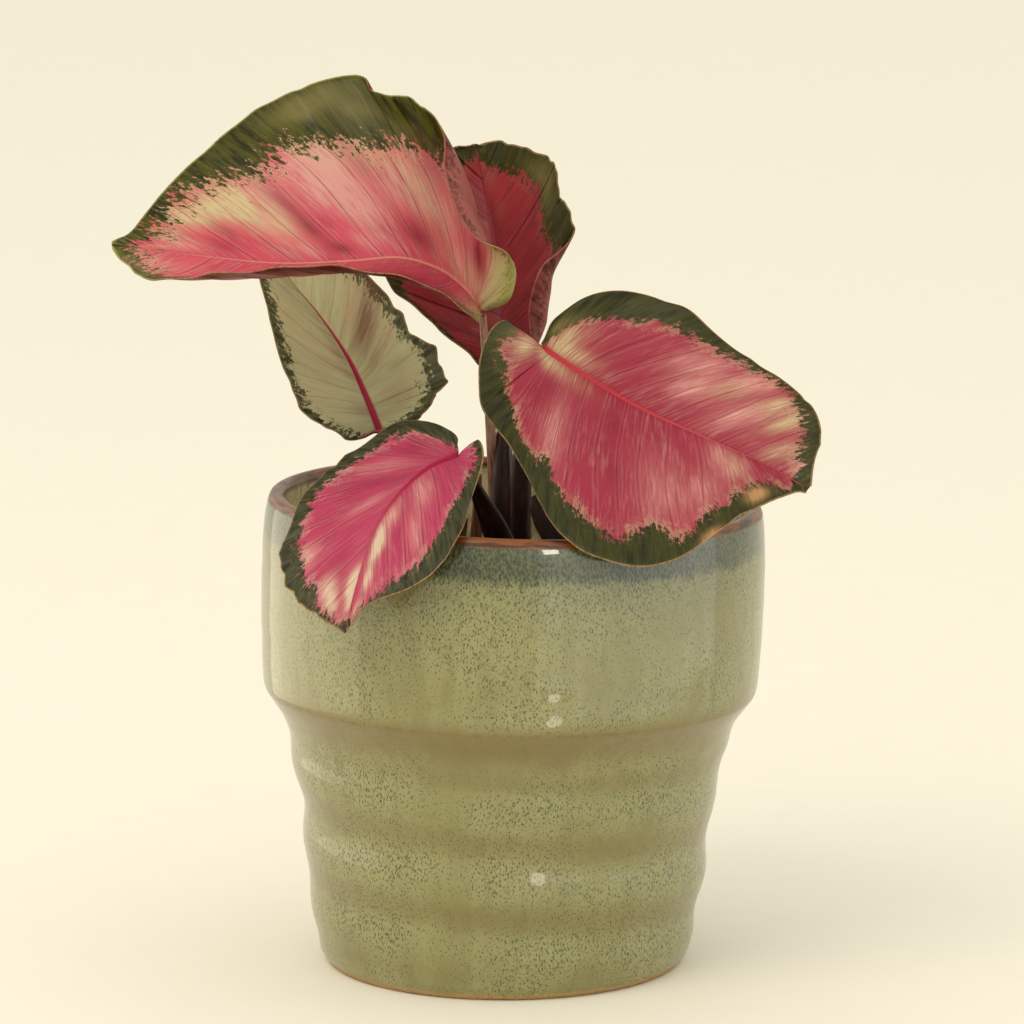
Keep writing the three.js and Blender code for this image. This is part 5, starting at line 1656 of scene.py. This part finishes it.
class CALATHEA_OT_soil(bpy.types.Operator):
    """Fill the grower's pot with soil and strew loose crumbs on it"""

    bl_idname = "calathea.soil"
    bl_label = "Soil"

    def execute(self, context):
        settings = context.scene.calathea.ground
        material = soil_material(settings)
        points, faces = lathe(fine_profile(SOIL_PROFILE[::-1], SOIL_STEP, False), SOIL_SIDES)
        x, y, z = points.T
        # Swells some twenty millimetres long, and lumps of some four, with no two alike.
        swells = np.sin(0.23 * x + 1.3) * np.cos(0.29 * y) + 0.6 * np.sin(0.51 * (x + y))
        lumps = 0.5 * np.sin(1.3 * x + 0.4 * y) * np.cos(1.1 * y - 0.3 * x) + 0.3 * np.sin(2.3 * x - 1.7 * y)
        points[:, 2] = z + (SWELL_HEIGHT * swells + LUMP_HEIGHT * lumps) * smooth(z, *SOIL_TOP)
        points[:, 0] += GROWER_SHIFT_X
        piece_from("potting_soil", mesh_from("potting_soil", points, faces, [material]), "soil")

        top = [face for face in faces if all(points[corner][2] > CRUMBS_ABOVE for corner in face)]
        ground = mesh_from("soil_crumbs", points, top, [])
        strewn = {
            "Crumbs per Square Metre": settings.crumbs,
            "Smallest": settings.smallest,
            "Largest": settings.largest,
            "Seed": settings.seed,
            "Material": material,
        }
        crumbs = through_tree("soil_crumbs", ground, crumb_tree(), strewn)
        piece_from("soil_crumbs", crumbs, "soil")
        return {"FINISHED"}


class CALATHEA_OT_blades(bpy.types.Operator):
    """Grow the five painted blades"""

    bl_idname = "calathea.blades"
    bl_label = "Blades"

    def execute(self, context):
        settings = context.scene.calathea.blades
        tree = blade_pattern()
        for name, build in BUILDS.items():
            piece_name = blade_name(name)
            upper = {**SHARED, **LOOKS[name]["colours"]}
            lower = {label: UNDERSIDE.get(label, "underside_light") for label in upper}
            numbers = {"Vein Pitch": build["quilt"], **LOOKS[name]["numbers"]}
            skins = [
                ("upper", upper, numbers, UPPER_SKIN),
                ("under", lower, {**numbers, **UNDER_NUMBERS}, UNDER_SKIN),
            ]
            materials = []
            for side, colours, values, skin in skins:
                shown = {label: getattr(settings, colour) for label, colour in colours.items()}
                shown.update(values)
                label = f"{piece_name}_{side}"
                materials.append(skin_material(label, tree, BLADE_PLACES, shown, skin, BLADE_RELIEF))
            piece_from(piece_name, Blade(name).mesh(settings, materials), name)
        return {"FINISHED"}


class CALATHEA_OT_stalks(bpy.types.Operator):
    """Grow the stalks, the rolled side shoot and the dry sheaths"""

    bl_idname = "calathea.stalks"
    bl_label = "Stalks and Sheaths"

    def execute(self, context):
        settings = context.scene.calathea.stalks
        tree = fibre_grain()
        materials = {}
        for finish, (colour, fibres, marks) in FINISHES.items():
            values = {
                "Skin": getattr(settings, colour),
                "Shade": getattr(settings, colour + "_shade"),
                "Light": getattr(settings, colour + "_light"),
                "Fibres": fibres,
                "Marks": marks,
            }
            places = {"Stalk Map": "stalk_map"}
            materials[finish] = skin_material(finish, tree, places, values, STALK_SKIN, STALK_RELIEF)
        for node, stalk in STALKS.items():
            points, faces, values = sweep(stalk["route"], stalk["girth"], stalk["groove"])
            material = materials[stalk["finish"]]
            mesh = mesh_from(stalk["piece"], points, faces, [material], values=values)
            piece_from(stalk["piece"], mesh, node)
        return {"FINISHED"}


def lay_floor(colour):
    """A wide pale floor with a faint grain."""
    far = FLOOR_REACH
    corners = [(-far, -far, 0), (far, -far, 0), (far, far, 0), (-far, far, 0)]
    mesh = bpy.data.meshes.new("floor")
    mesh.from_pydata(corners, [], [(0, 1, 2, 3)])
    material, w, shader = new_material("pale_floor", {"Roughness": 0.75, "Specular IOR Level": 0.2})
    grain = w.noise(w.place(60.0), 1.0, 3.0)
    darker = (*(0.97 * part for part in colour[:3]), 1.0)
    w.feed(shader.inputs["Base Color"], w.paint(tuple(colour), darker, grain))
    mesh.materials.append(material)
    floor = bpy.data.objects.new("floor", mesh)
    bpy.context.scene.collection.objects.link(floor)


def soft_light(name, place, target, size, power, colour, shape):
    """A soft light that faces a point and isn't seen itself."""
    light = bpy.data.lights.new(name, "AREA")
    light.shape = shape
    light.size, light.size_y = size
    light.energy = power
    light.color = shade(colour)[:3]
    lamp = bpy.data.objects.new(name, light)
    lamp.location = place
    lamp.rotation_euler = (Vector(target) - Vector(place)).to_track_quat("-Z", "Y").to_euler()
    lamp.visible_camera = False
    bpy.context.scene.collection.objects.link(lamp)
    return lamp


def mirrored_panel(name, bearing, distance, height, aim, size, glow, colour, shape):
    """A light for gloss alone, whose brightness stays the same whatever its size."""
    angle = math.radians(bearing)
    place = (distance * math.sin(angle), -distance * math.cos(angle), height)
    power = glow * math.pi * size[0] * size[1]
    lamp = soft_light(name, place, (0, 0, aim), size, power, colour, shape)
    lamp.visible_diffuse = False


def light_room(settings):
    """Even light from all round, a soft main light, and the panels that the gloss shows."""
    world = bpy.data.worlds.new("soft_room")
    world.use_nodes = True
    back = world.node_tree.nodes["Background"]
    back.inputs["Color"].default_value = settings.sky
    back.inputs["Strength"].default_value = settings.sky_strength
    bpy.context.scene.world = world
    soft_light("key_light", KEY_PLACE, LIGHT_TARGET, KEY_SIZE, settings.key_power, WARM, "RECTANGLE")
    for name, bearing, distance, height, aim, size, glow, colour, shape in PANELS:
        mirrored_panel(name, bearing, distance, height, aim, size, getattr(settings, glow), colour, shape)


def place_camera():
    """The camera at the photograph's viewing angle, with the photograph's frame."""
    camera = bpy.data.cameras.new("camera")
    camera.sensor_width = SENSOR_WIDTH
    camera.lens = FOCAL_PIXELS / IMAGE_PIXELS * SENSOR_WIDTH
    camera.clip_start = 0.01
    camera.clip_end = 60.0
    viewer = bpy.data.objects.new("camera", camera)
    pitch = math.radians(CAMERA_PITCH)
    target = Vector(CAMERA_TARGET) * MM
    viewer.location = target - CAMERA_DISTANCE * MM * Vector((0, math.cos(pitch), -math.sin(pitch)))
    viewer.rotation_euler = (math.radians(90 - CAMERA_PITCH), 0, 0)
    bpy.context.scene.collection.objects.link(viewer)
    bpy.context.scene.camera = viewer
    bpy.context.scene.view_settings.view_transform = "Standard"


class CALATHEA_OT_stage(bpy.types.Operator):
    """Lay the floor, set the lights and place the camera"""

    bl_idname = "calathea.stage"
    bl_label = "Floor, Lights and Camera"

    def execute(self, context):
        settings = context.scene.calathea.stage
        lay_floor(settings.floor)
        light_room(settings)
        place_camera()
        return {"FINISHED"}


class CALATHEA_PT_panel(bpy.types.Panel):
    """Buttons that make the potted calathea piece by piece"""

    bl_label = "Potted Rosy Calathea"
    bl_idname = "CALATHEA_PT_panel"
    bl_space_type = "VIEW_3D"
    bl_region_type = "UI"
    bl_category = "Calathea"

    def draw(self, context):
        for operator in OPERATORS:
            self.layout.operator(operator.bl_idname)


OPERATORS = (
    CALATHEA_OT_cover_pot,
    CALATHEA_OT_grower_pot,
    CALATHEA_OT_soil,
    CALATHEA_OT_stalks,
    CALATHEA_OT_blades,
    CALATHEA_OT_stage,
)
CLASSES = (
    BladeSettings,
    StalkSettings,
    PotSettings,
    GroundSettings,
    StageSettings,
    PlantSettings,
    *OPERATORS,
    CALATHEA_PT_panel,
)


def register():
    """Adds the classes and the scene's settings."""
    for each in CLASSES:
        bpy.utils.register_class(each)
    bpy.types.Scene.calathea = PointerProperty(type=PlantSettings)


def unregister():
    """Takes the settings and the classes away again."""
    del bpy.types.Scene.calathea
    for each in reversed(CLASSES):
        bpy.utils.unregister_class(each)


def main():
    """Makes every piece and the stage."""
    register()
    bpy.ops.calathea.cover_pot()
    bpy.ops.calathea.grower_pot()
    bpy.ops.calathea.soil()
    bpy.ops.calathea.stalks()
    bpy.ops.calathea.blades()
    bpy.ops.calathea.stage()


if __name__ == "__main__":
    main()
